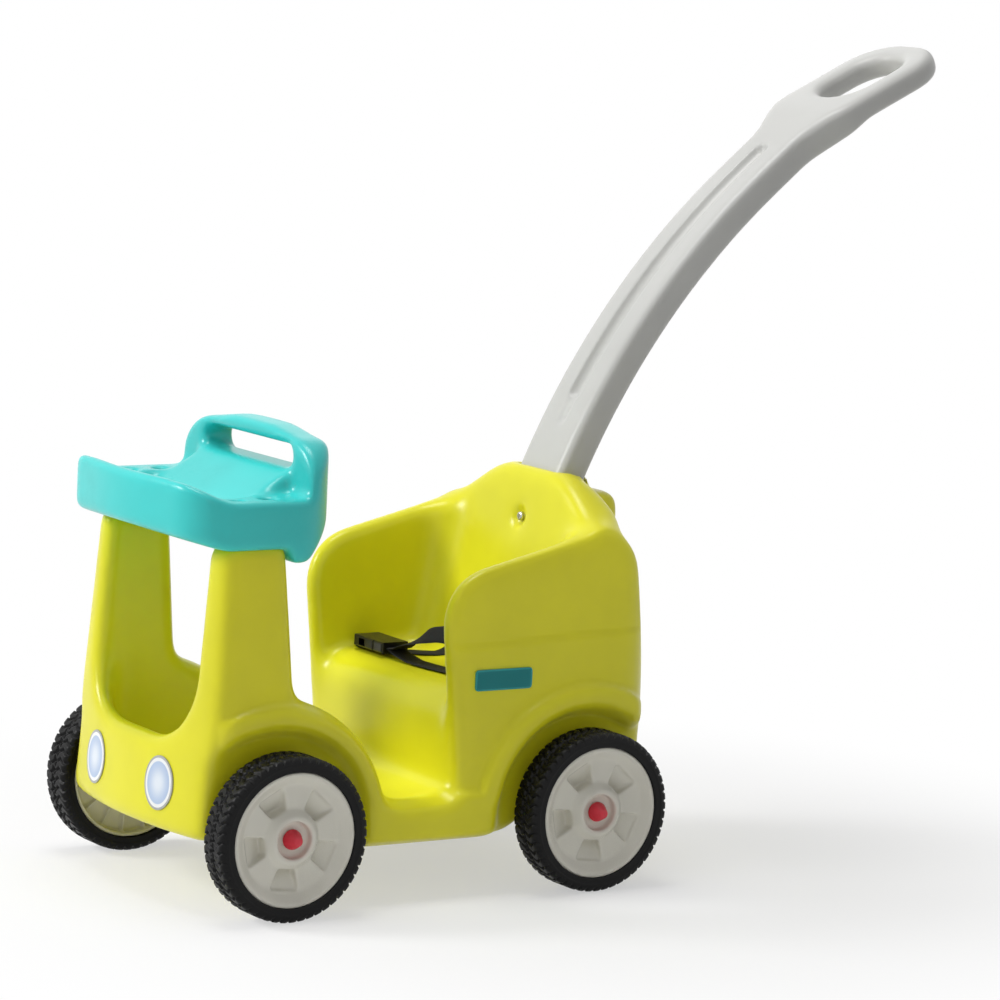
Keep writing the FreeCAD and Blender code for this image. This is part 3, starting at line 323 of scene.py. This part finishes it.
class Mould:
    def __init__(self, node, voxel, margin):
        self.points, self.corners = triangles(node)
        self.voxel = voxel
        self.low = np.floor((self.points.min(0) - margin) / voxel).astype(int)
        self.shape = np.ceil((self.points.max(0) + margin) / voxel).astype(int) - self.low + 1
        axes = [(np.arange(n) + start) * voxel for n, start in zip(self.shape, self.low)]
        self.x, self.y, self.z = np.ix_(*axes)

    # distance to the given triangles, in metres, cut off at three cells
    def distance(self, points, corners):
        transform = openvdb.createLinearTransform(voxelSize=self.voxel)
        grid = openvdb.FloatGrid.createLevelSetFromPolygons(
            points, triangles=corners, transform=transform, halfWidth=mouldSizes["band"])
        field = np.empty(self.shape, np.float32)
        grid.copyToArray(field, ijk=tuple(int(i) for i in self.low))
        return field

    # the cells that can be reached from the grid's border, swept along each axis both ways
    def reached(self, solid):
        free = ~solid
        outside = np.zeros_like(solid)
        for axis in range(3):
            border = np.moveaxis(outside, axis, 0)
            border[0] = True
            border[-1] = True
        outside &= free
        count = 0
        while count != outside.sum():
            count = outside.sum()
            for axis in range(3):
                for way in (1, -1):
                    cells = np.moveaxis(outside, axis, 0)[::way]
                    room = np.moveaxis(free, axis, 0)[::way]
                    for i in range(1, len(cells)):
                        cells[i] |= cells[i - 1] & room[i]
        return outside

    # the filled share of each cell, 1 inside and 0 outside, with plugged holes and no hollow; thin walls are
    # thickened by half a cell while the outside is swept, and the swept part then grows back over that half
    def fill(self, plugs):
        field = self.distance(self.points, self.corners)
        solid = field < mouldSizes["wallCells"] * self.voxel
        room = field > 0
        for plug in plugs:
            solid |= plug
            room &= ~plug
        outside = self.reached(solid)
        grown = outside.copy()
        for axis in range(3):
            for way in (1, -1):
                grown |= np.roll(outside, way, axis)
        outside |= grown & room
        a, b, c = (self.points[self.corners[:, i]] for i in range(3))
        facing = np.cross(b - a, c - a)
        facing /= np.maximum(np.linalg.norm(facing, axis=1, keepdims=True), 1e-12)
        probe = np.round(((a + b + c) / 3 + facing * self.voxel) / self.voxel).astype(int) - self.low
        skin = outside[tuple(np.clip(probe, 0, self.shape - 1).T)]
        away = np.abs(self.distance(self.points, self.corners[skin]))
        away = np.where(outside, away, -away)
        self.share = np.clip(0.5 - away / self.voxel, 0, 1)

    def blur(self, width):
        reach = int(math.ceil(mouldSizes["blurReach"] * width / self.voxel))
        steps = np.arange(-reach, reach + 1)
        weights = np.exp(-0.5 * (steps * self.voxel / width) ** 2)
        weights /= weights.sum()
        for axis in range(3):
            lines = np.moveaxis(self.share, axis, 0)
            padded = np.concatenate([lines[:1]] * reach + [lines] + [lines[-1:]] * reach)
            total = sum(w * padded[i:i + len(lines)] for i, w in enumerate(weights))
            self.share = np.moveaxis(total, 0, axis)

    def surface(self):
        grid = openvdb.FloatGrid(0.5)
        level = np.ascontiguousarray(0.5 - self.share, np.float32)
        grid.copyFromArray(level, ijk=tuple(int(i) for i in self.low))
        grid.transform = openvdb.createLinearTransform(voxelSize=self.voxel)
        points, quads = grid.convertToQuads(0.0)
        points = np.asarray(points, float)
        quads = np.asarray(quads, int)
        return points, outward(points, quads)


# faces turned so that the closed surface holds a positive volume
def outward(points, quads):
    a, b, c = (points[quads[:, i]] for i in range(3))
    if np.einsum("ij,ij->i", a, np.cross(b, c)).sum() < 0:
        return quads[:, ::-1]
    return quads


# each point moves part of the way to the mean of its neighbours
def relaxed(points, quads, rounds, share):
    edges = np.concatenate([quads[:, [i, (i + 1) % 4]] for i in range(4)])
    count = np.bincount(edges[:, 0], minlength=len(points))[:, None]
    for step in range(rounds):
        total = np.stack([np.bincount(edges[:, 0], points[edges[:, 1], k], len(points)) for k in range(3)], 1)
        points = points + (total / np.maximum(count, 1) - points) * share
    return points


def normals(points, quads):
    a, b, c, d = (points[quads[:, i]] for i in range(4))
    facing = np.cross(c - a, d - b)
    total = np.stack([sum(np.bincount(quads[:, i], facing[:, k], len(points)) for i in range(4))
                      for k in range(3)], 1)
    return total / np.maximum(np.linalg.norm(total, axis=1, keepdims=True), 1e-12)


def smoothStep(value, low, high):
    t = np.clip((value - low) / (high - low), 0, 1)
    return t * t * (3 - 2 * t)


def rodMask(mould, start, axis, radius):
    places = [mould.x - start[0], mould.y - start[1], mould.z - start[2]]
    across = sum(places[i] ** 2 for i in range(3) if i != axis)
    return across < radius ** 2


# body shell: soft edges, plugged holes, pillars that run up into the tray, a socket that clears the handle, a
# dimple round the handle screw, and the side panels' shoulder line, fender bands and sill
shellSizes = {
    "voxel": 0.0034,
    "margin": 0.02,
    "edge": 0.0088,
    "relax": (3, 0.5),
    "plug": 0.009,
    "wellWall": 0.144,
    "trayScrews": (0.119, (-0.444, -0.406), 0.36),
    "anchors": (0.064, 0.262, -0.036),
    "anchorRun": 0.02,
    "screwPlug": (0.004, 0.05),
    "socketWall": 0.006,
    "socketTop": 0.443,
    "socketGap": 0.0012,
    "pillarTop": 0.388,
    "pillarRun": 0.010,
    "shoulderInset": 0.0032,
    "shoulderFront": (-0.183, 0.271),
    "shoulderRear": (0.0, 0.279),
    "shoulderRun": 0.005,
    "shoulderLead": 0.03,
    "shoulderSide": (0.150, 0.158),
    "dimple": (0.012, 0.005),
    "fender": {"proud": 0.008, "inner": (0.098, 0.103), "outer": (0.134, 0.140), "nose": (-0.512, -0.498),
               "sill": (0.112, 0.119), "sillEnds": (-0.29, -0.13), "sillRun": 0.01},
}


def makeShell():
    s = shellSizes
    mould = Mould("body_shell", s["voxel"], s["margin"])
    plugs = []
    for end in ("front", "rear"):
        low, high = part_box(end + "_axle")
        plugs.append(rodMask(mould, (low + high) / 2, 0, s["plug"]) & (np.abs(mould.x) < s["wellWall"]))
    for side in (-1, 1):
        x, rows, low = s["trayScrews"]
        for y in rows:
            hole = rodMask(mould, (side * x, y, 0), 2, s["plug"])
            plugs.append(hole & (mould.z > low) & (mould.z < s["pillarTop"]))
        x, z, low = s["anchors"]
        hole = rodMask(mould, (side * x, 0, z), 1, s["plug"])
        plugs.append(hole & (mould.y > low) & (mould.y < low + s["anchorRun"]))
    low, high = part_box("handle_screw")
    sunk, back = s["screwPlug"]
    plugs.append(rodMask(mould, (low + high) / 2, 1, s["plug"]) & (mould.y > low.y + sunk) & (mould.y < back))
    toHandle = mould.distance(*triangles("push_handle"))
    plugs.append((toHandle < s["socketWall"]) & (mould.z < s["socketTop"]))
    mould.fill(plugs)
    top = int(round(s["pillarTop"] / s["voxel"])) - mould.low[2]
    run = int(round(s["pillarRun"] / s["voxel"]))
    front = mould.y[0, :, 0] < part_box("dash_tray")[1].y
    for k in range(top - 1, top + run):
        mould.share[:, front, k] = mould.share[:, front, top - 2]
    mould.blur(s["edge"])
    mould.share = np.minimum(mould.share, np.clip(0.5 + (toHandle - s["socketGap"]) / s["voxel"], 0, 1))
    reach, depth = s["dimple"]
    away = np.sqrt((mould.x ** 2 + (mould.z - (low.z + high.z) / 2) ** 2) / reach ** 2
                   + ((mould.y - low.y) / depth) ** 2)
    mould.share = np.minimum(mould.share, np.clip(0.5 + (away - 1) * depth / s["voxel"], 0, 1))
    points, quads = mould.surface()
    points = relaxed(points, quads, *s["relax"])
    return shouldered(points, quads), quads


# the side panels step in above a line z = front height + rise * smooth step of y, and a band round each
# wheel and the sill between them stand proud
def shouldered(points, quads):
    s = shellSizes
    (startY, startZ), (endY, endZ) = s["shoulderFront"], s["shoulderRear"]
    x, y, z = points.T
    line = startZ + (endZ - startZ) * smoothStep(y, startY, endY)
    side = np.abs(normals(points, quads)[:, 0]) ** 2 * smoothStep(np.abs(x), *s["shoulderSide"])
    panel = side * (y > startY - s["shoulderLead"])
    inset = s["shoulderInset"] * smoothStep(z - line, 0, s["shoulderRun"]) * panel
    fender = s["fender"]
    front, rear = fender["sillEnds"]
    band = (1 - smoothStep(z, *fender["sill"])) * smoothStep(y, front - fender["sillRun"], front)
    band = band * (1 - smoothStep(y, rear, rear + fender["sillRun"]))
    for end in ("front", "rear"):
        low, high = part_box(end + "_axle")
        away = np.hypot(y - (low.y + high.y) / 2, z - (low.z + high.z) / 2)
        arch = smoothStep(away, *fender["inner"]) * (1 - smoothStep(away, *fender["outer"]))
        band = np.maximum(band, arch * smoothStep(y, *fender["nose"]))
    inset = inset - fender["proud"] * band * side
    return points - np.stack([np.sign(x) * inset, 0 * y, 0 * z], 1)


points, quads = makeShell()
shell = addPiece("shell", points, quads, "shell", "car")
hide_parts("body_shell")
print("shell:", len(points), "points", len(quads), "quads")


# dash tray: soft edges, a grab arch with round shoulders, and open wells over the tray screws
traySizes = {"voxel": 0.0024, "margin": 0.015, "edge": 0.0052, "relax": (3, 0.5), "well": 0.0082,
             "wellDepth": 0.003,
             "arch": {"half": 0.158, "foot": 0.455, "rise": 0.053, "power": 2.6, "depth": 0.062}}


# the grab arch's top follows foot + rise * (1 - |x / half|^power)^(1 / power)
def roundArch(mould):
    s = traySizes["arch"]
    share = np.clip(1 - np.abs(mould.x / s["half"]) ** s["power"], 0, 1)
    top = s["foot"] + s["rise"] * share ** (1 / s["power"])
    arch = mould.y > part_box("dash_tray")[1].y - s["depth"]
    under = np.clip(0.5 + (top - mould.z) / traySizes["voxel"], 0, 1)
    mould.share = np.where(arch & (mould.z > s["foot"]), np.minimum(mould.share, under), mould.share)


def makeTray():
    s = traySizes
    mould = Mould("dash_tray", s["voxel"], s["margin"])
    mould.fill([])
    roundArch(mould)
    mould.blur(s["edge"])
    x, rows = shellSizes["trayScrews"][:2]
    above = mould.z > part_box("tray_screws")[1].z - s["wellDepth"]
    for side in (-1, 1):
        for y in rows:
            away = np.hypot(mould.x - side * x, mould.y - y)
            bore = np.clip(0.5 + (away - s["well"]) / s["voxel"], 0, 1)
            mould.share = np.where(above, np.minimum(mould.share, bore), mould.share)
    points, quads = mould.surface()
    return relaxed(points, quads, *s["relax"]), quads


points, quads = makeTray()
tray = addPiece("tray", points, quads, "tray", "car")
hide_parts("dash_tray")
print("tray:", len(points), "points", len(quads), "quads")


# push handle: soft edges and a long groove in its front face
handleSizes = {"voxel": 0.0022, "margin": 0.012, "edge": 0.003, "relax": (3, 0.5), "grooveHalf": 0.0105,
               "grooveDepth": 0.008, "grooveEnds": (0.53, 0.805), "faceX": 0.018, "faceOrder": 4}


# a round-bottomed groove: cells nearer than r to a line that lies c in front of the handle's face are
# emptied, with r = (half width^2 + depth^2) / (2 depth) and c = r - depth
def carveGroove(mould):
    s = handleSizes
    radius = (s["grooveHalf"] ** 2 + s["grooveDepth"] ** 2) / (2 * s["grooveDepth"])
    column = int(round(s["faceX"] / s["voxel"])) - mould.low[0]
    heights = mould.z[0, 0, :]
    rows = np.flatnonzero((heights > s["grooveEnds"][0]) & (heights < s["grooveEnds"][1]))
    first = (mould.share[column][:, rows] > 0.5).argmax(0)
    face = np.polynomial.Polynomial.fit(heights[rows], mould.y[0, first, 0], s["faceOrder"])
    slope = face.deriv()(heights[rows])
    lean = np.stack([-np.ones(len(rows)), slope], 1) / np.hypot(1, slope)[:, None]
    path = np.stack([face(heights[rows]), heights[rows]], 1) + lean * (radius - s["grooveDepth"])
    away = np.full(mould.shape[1:], np.inf)
    for y, z in path:
        away = np.minimum(away, np.hypot(mould.y[0] - y, mould.z[0] - z))
    away = np.sqrt(away[None] ** 2 + mould.x ** 2)
    mould.share = np.minimum(mould.share, np.clip(0.5 + (away - radius) / s["voxel"], 0, 1))


def makeHandle():
    s = handleSizes
    mould = Mould("push_handle", s["voxel"], s["margin"])
    mould.fill([])
    mould.blur(s["edge"])
    carveGroove(mould)
    points, quads = mould.surface()
    return relaxed(points, quads, *s["relax"]), quads


points, quads = makeHandle()
handle = addPiece("handle", points, quads, "handle", "car")
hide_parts("push_handle")
print("handle:", len(points), "points", len(quads), "quads")


# rims and caps: the solids with their edges softened
wheelSizes = {"margin": 0.008, "relax": (2, 0.4), "rim": (0.0013, 0.0010), "cap": (0.0006, 0.0009)}
wheels = [end + "_" + side for end in ("front", "rear") for side in ("left", "right")]


def softened(node, voxel, edge):
    mould = Mould(node, voxel, wheelSizes["margin"])
    mould.fill([])
    mould.blur(edge)
    points, quads = mould.surface()
    return relaxed(points, quads, *wheelSizes["relax"]), quads


for wheel in wheels:
    points, quads = softened(wheel + "_rim", *wheelSizes["rim"])
    rim = addPiece(wheel + "_hub", points, quads, "rim", wheel + "_wheel")
    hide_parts(wheel + "_rim")
    points, quads = softened(wheel + "_axle_cap", *wheelSizes["cap"])
    cap = addPiece(wheel + "_cap", points, quads, "cap", "car")
    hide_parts(wheel + "_axle_cap")
print("rims and caps:", len(wheels))


# Tyres: rings of section points (depth from the outer face, radius) turned about the axle. With t the turn
# and u the place across the tread from -1 to 1, a groove runs where lugs * t / (2 pi) + zigzag(u) is near a
# whole number, set over by half a lug where u > 0, and one more stepped groove, the belt, runs round the
# middle. The groove's fade is in shares of half a lug, and the belt's in shares of the tyre's half width.
tyreSizes = {"lugs": 52, "steps": 10, "depth": 0.0026, "round": 0.006, "wallHeight": 0.0158,
             "groove": (0.17, 0.374), "zigzag": 0.42, "waves": 1.5, "waveStart": 0.25, "beltStep": 0.12,
             "belt": (0.03, 0.08), "ridge": (0.0806, 0.0006, 0.0005), "across": 40, "wall": 12, "corner": 7}


def tyreSection(width, inner, outer):
    s = tyreSizes
    bend = np.linspace(0, np.pi / 2, s["corner"])
    wall = np.linspace(inner, outer - s["round"], s["wall"], endpoint=False)
    height, spread, lift = s["ridge"]
    bump = lift * np.exp(-0.5 * ((wall - height) / spread) ** 2)
    flat = np.linspace(s["round"], width - s["round"], s["across"])[1:-1]
    depth = np.concatenate([-bump, s["round"] * (1 - np.cos(bend)), flat])
    radius = np.concatenate([wall, outer - s["round"] * (1 - np.sin(bend)), np.full(len(flat), outer)])
    tail = slice(0, s["wall"] + s["corner"])
    depth = np.concatenate([depth, (width - depth[tail])[::-1]])
    radius = np.concatenate([radius, radius[tail][::-1]])
    return depth, radius


def makeTyre(node):
    s = tyreSizes
    low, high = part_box(node)
    middle = (low + high) / 2
    outer = (high.z - low.z) / 2
    width = high.x - low.x
    depth, radius = tyreSection(width, outer - s["wallHeight"], outer)
    turns = s["lugs"] * s["steps"]
    turn = np.arange(turns)[:, None] * 2 * np.pi / turns
    u = depth[None, :] / width * 2 - 1
    wave = np.abs((u * s["waves"] + s["waveStart"]) % 1 - 0.5) * 2
    phase = s["lugs"] * turn / (2 * np.pi) + wave * s["zigzag"] + (u > 0) * 0.5
    near = np.abs(phase % 1 - 0.5) * 2
    cut = 1 - smoothStep(1 - near, *s["groove"])
    belt = np.abs(u - s["beltStep"] * np.sign((s["lugs"] * turn / (2 * np.pi)) % 1 - 0.5))
    cut = np.maximum(cut, 1 - smoothStep(belt, *s["belt"]))
    cut = cut * smoothStep(radius, outer - s["round"], outer - s["round"] * 0.5)[None, :]
    reach = radius[None, :] - s["depth"] * cut
    sign = 1 if middle.x > 0 else -1
    face = middle.x + sign * width / 2
    x = np.broadcast_to(face - sign * depth[None, :], reach.shape)
    points = np.stack([x, middle.y + reach * np.cos(turn), middle.z + reach * np.sin(turn)], 2)
    rings = points.shape[1]
    index = np.arange(turns * rings).reshape(turns, rings)
    ahead = np.roll(index, -1, 0)
    beside, corner = np.roll(index, -1, 1), np.roll(ahead, -1, 1)
    quads = np.stack([index, ahead, corner, beside], 2).reshape(-1, 4)
    return points.reshape(-1, 3), outward(points.reshape(-1, 3) - np.array(middle), quads)


for wheel in wheels:
    points, quads = makeTyre(wheel + "_tyre")
    tyre = addPiece(wheel + "_tread", points, quads, "tyre", wheel + "_wheel")
    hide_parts(wheel + "_tyre")
print("tyres:", len(points), "points each")


# Belt: ribbons along routes of x, y, z in metres and the width's direction in degrees. The left strap rises
# from the plug to an arch and its spare end lies on the seat below.
climbs = [(-0.0664, 0.2231), (-0.0547, 0.2260), (-0.0462, 0.2334), (-0.0406, 0.2497), (-0.0382, 0.2622),
          (-0.0357, 0.2747)]
straps = {
    "left": [
        [(-0.0585, -0.1290, 0.2335, 90), (-0.0470, -0.1290, 0.2345, 90), (-0.0300, -0.1270, 0.2440, 92),
         (-0.0080, -0.1210, 0.2560, 98), (0.0140, -0.1120, 0.2610, 106), (0.0340, -0.1010, 0.2590, 122),
         (0.0520, -0.0860, 0.2480, 148), (0.0620, -0.0720, 0.2360, 174)]
        + [(0.0640, y, z, 180) for y, z in climbs[1:]],
        [(-0.0585, -0.1290, 0.2330, 90), (-0.0446, -0.1290, 0.2286, 90), (-0.0216, -0.1270, 0.2244, 92),
         (0.0050, -0.1240, 0.2239, 95), (0.0300, -0.1200, 0.2239, 99), (0.0560, -0.1150, 0.2239, 101)],
    ],
    "right": [
        [(-0.1231, -0.1290, 0.2335, 90), (-0.1276, -0.1290, 0.2330, 90), (-0.1299, -0.1290, 0.2286, 90),
         (-0.1262, -0.1285, 0.2249, 90), (-0.1148, -0.1243, 0.2244, 94), (-0.0999, -0.1154, 0.2241, 108),
         (-0.0810, -0.1002, 0.2238, 132), (-0.0688, -0.0836, 0.2238, 156)]
        + [(-0.0640, y, z, 180) for y, z in climbs],
    ],
}
ribbonSizes = {"along": 160, "across": 9, "edgePower": 8, "blur": 3.0, "blurReach": 12, "tilt": 0.75,
               "tiltHeights": (0.236, 0.258), "tiltDepths": (0.06, 0.085)}


# a line of values blurred by a Gaussian, with both ends held by a mirrored run beyond them
def eased(values):
    reach = ribbonSizes["blurReach"]
    weights = np.exp(-0.5 * (np.arange(-reach, reach + 1) / ribbonSizes["blur"]) ** 2)
    before = 2 * values[0] - values[reach:0:-1]
    after = 2 * values[-1] - values[-2:-reach - 2:-1]
    line = np.concatenate([before, values, after])
    return np.convolve(line, weights / weights.sum(), "valid")


def ribbon(route):
    s = ribbonSizes
    route = np.array(route, float)
    gaps = np.linalg.norm(np.diff(route[:, :3], axis=0), axis=1)
    place = np.concatenate([[0], np.cumsum(gaps)])
    along = np.linspace(0, place[-1], s["along"])
    lines = [eased(np.interp(along, place, route[:, k])) for k in range(4)]
    middle = np.stack(lines[:3], 1)
    turn = np.radians(lines[3])
    ahead = np.gradient(middle, axis=0)
    ahead /= np.linalg.norm(ahead, axis=1, keepdims=True)
    tilt = s["tilt"] * smoothStep(middle[:, 2], *s["tiltHeights"])
    tilt = tilt * smoothStep(-middle[:, 1], *s["tiltDepths"])
    side = np.stack([np.cos(turn) * np.cos(tilt), np.sin(turn) * np.cos(tilt), np.sin(tilt)], 1)
    side -= (side * ahead).sum(1, keepdims=True) * ahead
    side /= np.linalg.norm(side, axis=1, keepdims=True)
    up = np.cross(ahead, side)
    across = np.sin(np.linspace(-np.pi / 2, np.pi / 2, s["across"]))
    rise = np.sqrt(1 - across ** s["edgePower"]) * 0.5
    u = np.concatenate([across, across[::-1]]) * webbing["width"] / 2
    v = np.concatenate([rise, -rise[::-1]]) * webbing["thick"]
    points = middle[:, None] + side[:, None] * u[None, :, None] + up[:, None] * v[None, :, None]
    rings = len(u)
    index = np.arange(len(along) * rings).reshape(len(along), rings)
    beside = np.roll(index, -1, 1)
    quads = np.stack([index[:-1], beside[:-1], beside[1:], index[1:]], 2).reshape(-1, 4)
    ends = np.concatenate([[index[0, [k, k + 1, -k - 2, -k - 1]] for k in range(s["across"] - 1)],
                           [index[-1, [k, -k - 1, -k - 2, k + 1]] for k in range(s["across"] - 1)]])
    quads = np.concatenate([quads, ends[:, ::-1]])
    length = np.linalg.norm(np.diff(middle, axis=0), axis=1).sum()
    marks = np.stack(np.broadcast_arrays(u[None, :], along[:, None]), 2).reshape(-1, 2)
    return points.reshape(-1, 3), quads, marks, length


def makeStrap(side):
    points, quads, marks, total = [], [], [], 0
    for route in straps[side]:
        p, q, m, length = ribbon(route)
        quads.append(outward(p - p.mean(0), q) + sum(len(x) for x in points))
        points.append(p)
        marks.append(m)
        total += length
    points, quads, marks = (np.concatenate(rows) for rows in (points, quads, marks))
    strap = addPiece("strap_" + side, points, quads, "strap", None)
    data = strap.data
    corners = np.empty(len(data.loops), np.int32)
    data.loops.foreach_get("vertex_index", corners)
    weave = data.uv_layers.new(name="weave")
    weave.uv.foreach_set("vector", marks[corners].astype(np.float32).ravel())
    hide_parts("belt_strap_" + side)
    print("strap", side, "length", round(total, 4))
    return strap


strap = makeStrap("right")
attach(strap, "car")
strap = makeStrap("left")
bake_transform(strap)


# the solids that are shown as they are, each with the finish that goes with a word of its name
dressed = {"buckle": "buckle", "headlight": "lamp", "badge": "badge", "screw": "steel", "washer": "steel",
           "nut": "steel", "front_axle": "steel", "rear_axle": "steel"}
for name in nodes:
    for word, finish in dressed.items():
        if word in name:
            nodes[name].data.materials.clear()
            nodes[name].data.materials.append(finishes[finish])
print("solids dressed")


# floor, world and soft studio lamps
stageSizes = {"floor": 60.0, "tone": 0.95, "sky": 0.26, "fade": (0.3, 0.9), "least": 0.5,
              "aim": (0, -0.1, 0.35)}
lamps = {
    "key": {"place": (-1.3, -3.0, 2.0), "size": 1.0, "watts": 66},
    "fill": {"place": (3.4, -2.0, 2.2), "size": 1.0, "watts": 5},
    "top": {"place": (-0.2, -0.5, 3.2), "size": 1.4, "watts": 38},
    "back": {"place": (-2.6, 1.8, 2.0), "size": 1.8, "watts": 4},
}


# 1 on rays from the camera, on mirrored rays and on rays through clear pieces, and 0 on rays that light a
# surface
def seenRays(tree):
    path = tree.nodes.new("ShaderNodeLightPath")
    kinds = ("Is Camera Ray", "Is Glossy Ray", "Is Transmission Ray")
    camera, mirrored, through = (Wire(tree, path.outputs[kind]) for kind in kinds)
    return camera.maths("MAXIMUM", camera.maths("MAXIMUM", camera, mirrored), through)


def makeStage():
    half = stageSizes["floor"] / 2
    mesh = bpy.data.meshes.new("floor")
    corners = [(-half, -half, 0), (half, -half, 0), (half, half, 0), (-half, half, 0)]
    mesh.from_pydata(corners, [], [(0, 1, 2, 3)])
    material, where, shader = newFinish("floor")
    tone = stageSizes["tone"]
    setShader(shader, colour=(tone, tone, tone, 1), rough=0.8, specular=0.1)
    x, y = where.parts()[:2]
    away = where.maths("SQRT", x * x + y * y)
    white = where.node("ShaderNodeEmission", {}, {"Strength": 1.0})
    least = stageSizes["least"]
    faded = (away.over(*stageSizes["fade"]) * (1 - least) + least) * seenRays(where.tree)
    body = Wire(where.tree, shader.outputs[0])
    both = where.node("ShaderNodeMixShader", {}, {0: faded, 1: body, 2: white})
    where.tree.links.new(both.socket, where.tree.nodes["Material Output"].inputs["Surface"])
    mesh.materials.append(material)
    floor = bpy.data.objects.new("floor", mesh)
    bpy.context.scene.collection.objects.link(floor)
    world = bpy.data.worlds.new("studio")
    world.use_nodes = True
    sky = world.node_tree.nodes["Background"]
    strength = seenRays(world.node_tree) * (1 - stageSizes["sky"]) + stageSizes["sky"]
    world.node_tree.links.new(strength.socket, sky.inputs["Strength"])
    sky.inputs["Color"].default_value = (1, 1, 1, 1)
    bpy.context.scene.world = world
    aim = Vector(stageSizes["aim"])
    for name, lamp in lamps.items():
        data = bpy.data.lights.new(name, "AREA")
        data.shape, data.size, data.energy = "DISK", lamp["size"], lamp["watts"]
        lampObject = bpy.data.objects.new(name, data)
        lampObject.location = lamp["place"]
        lampObject.rotation_euler = (aim - Vector(lamp["place"])).to_track_quat("-Z", "Y").to_euler()
        bpy.context.scene.collection.objects.link(lampObject)


placeCamera()
makeStage()
bpy.context.scene.view_settings.view_transform = "Standard"
print("stage made")
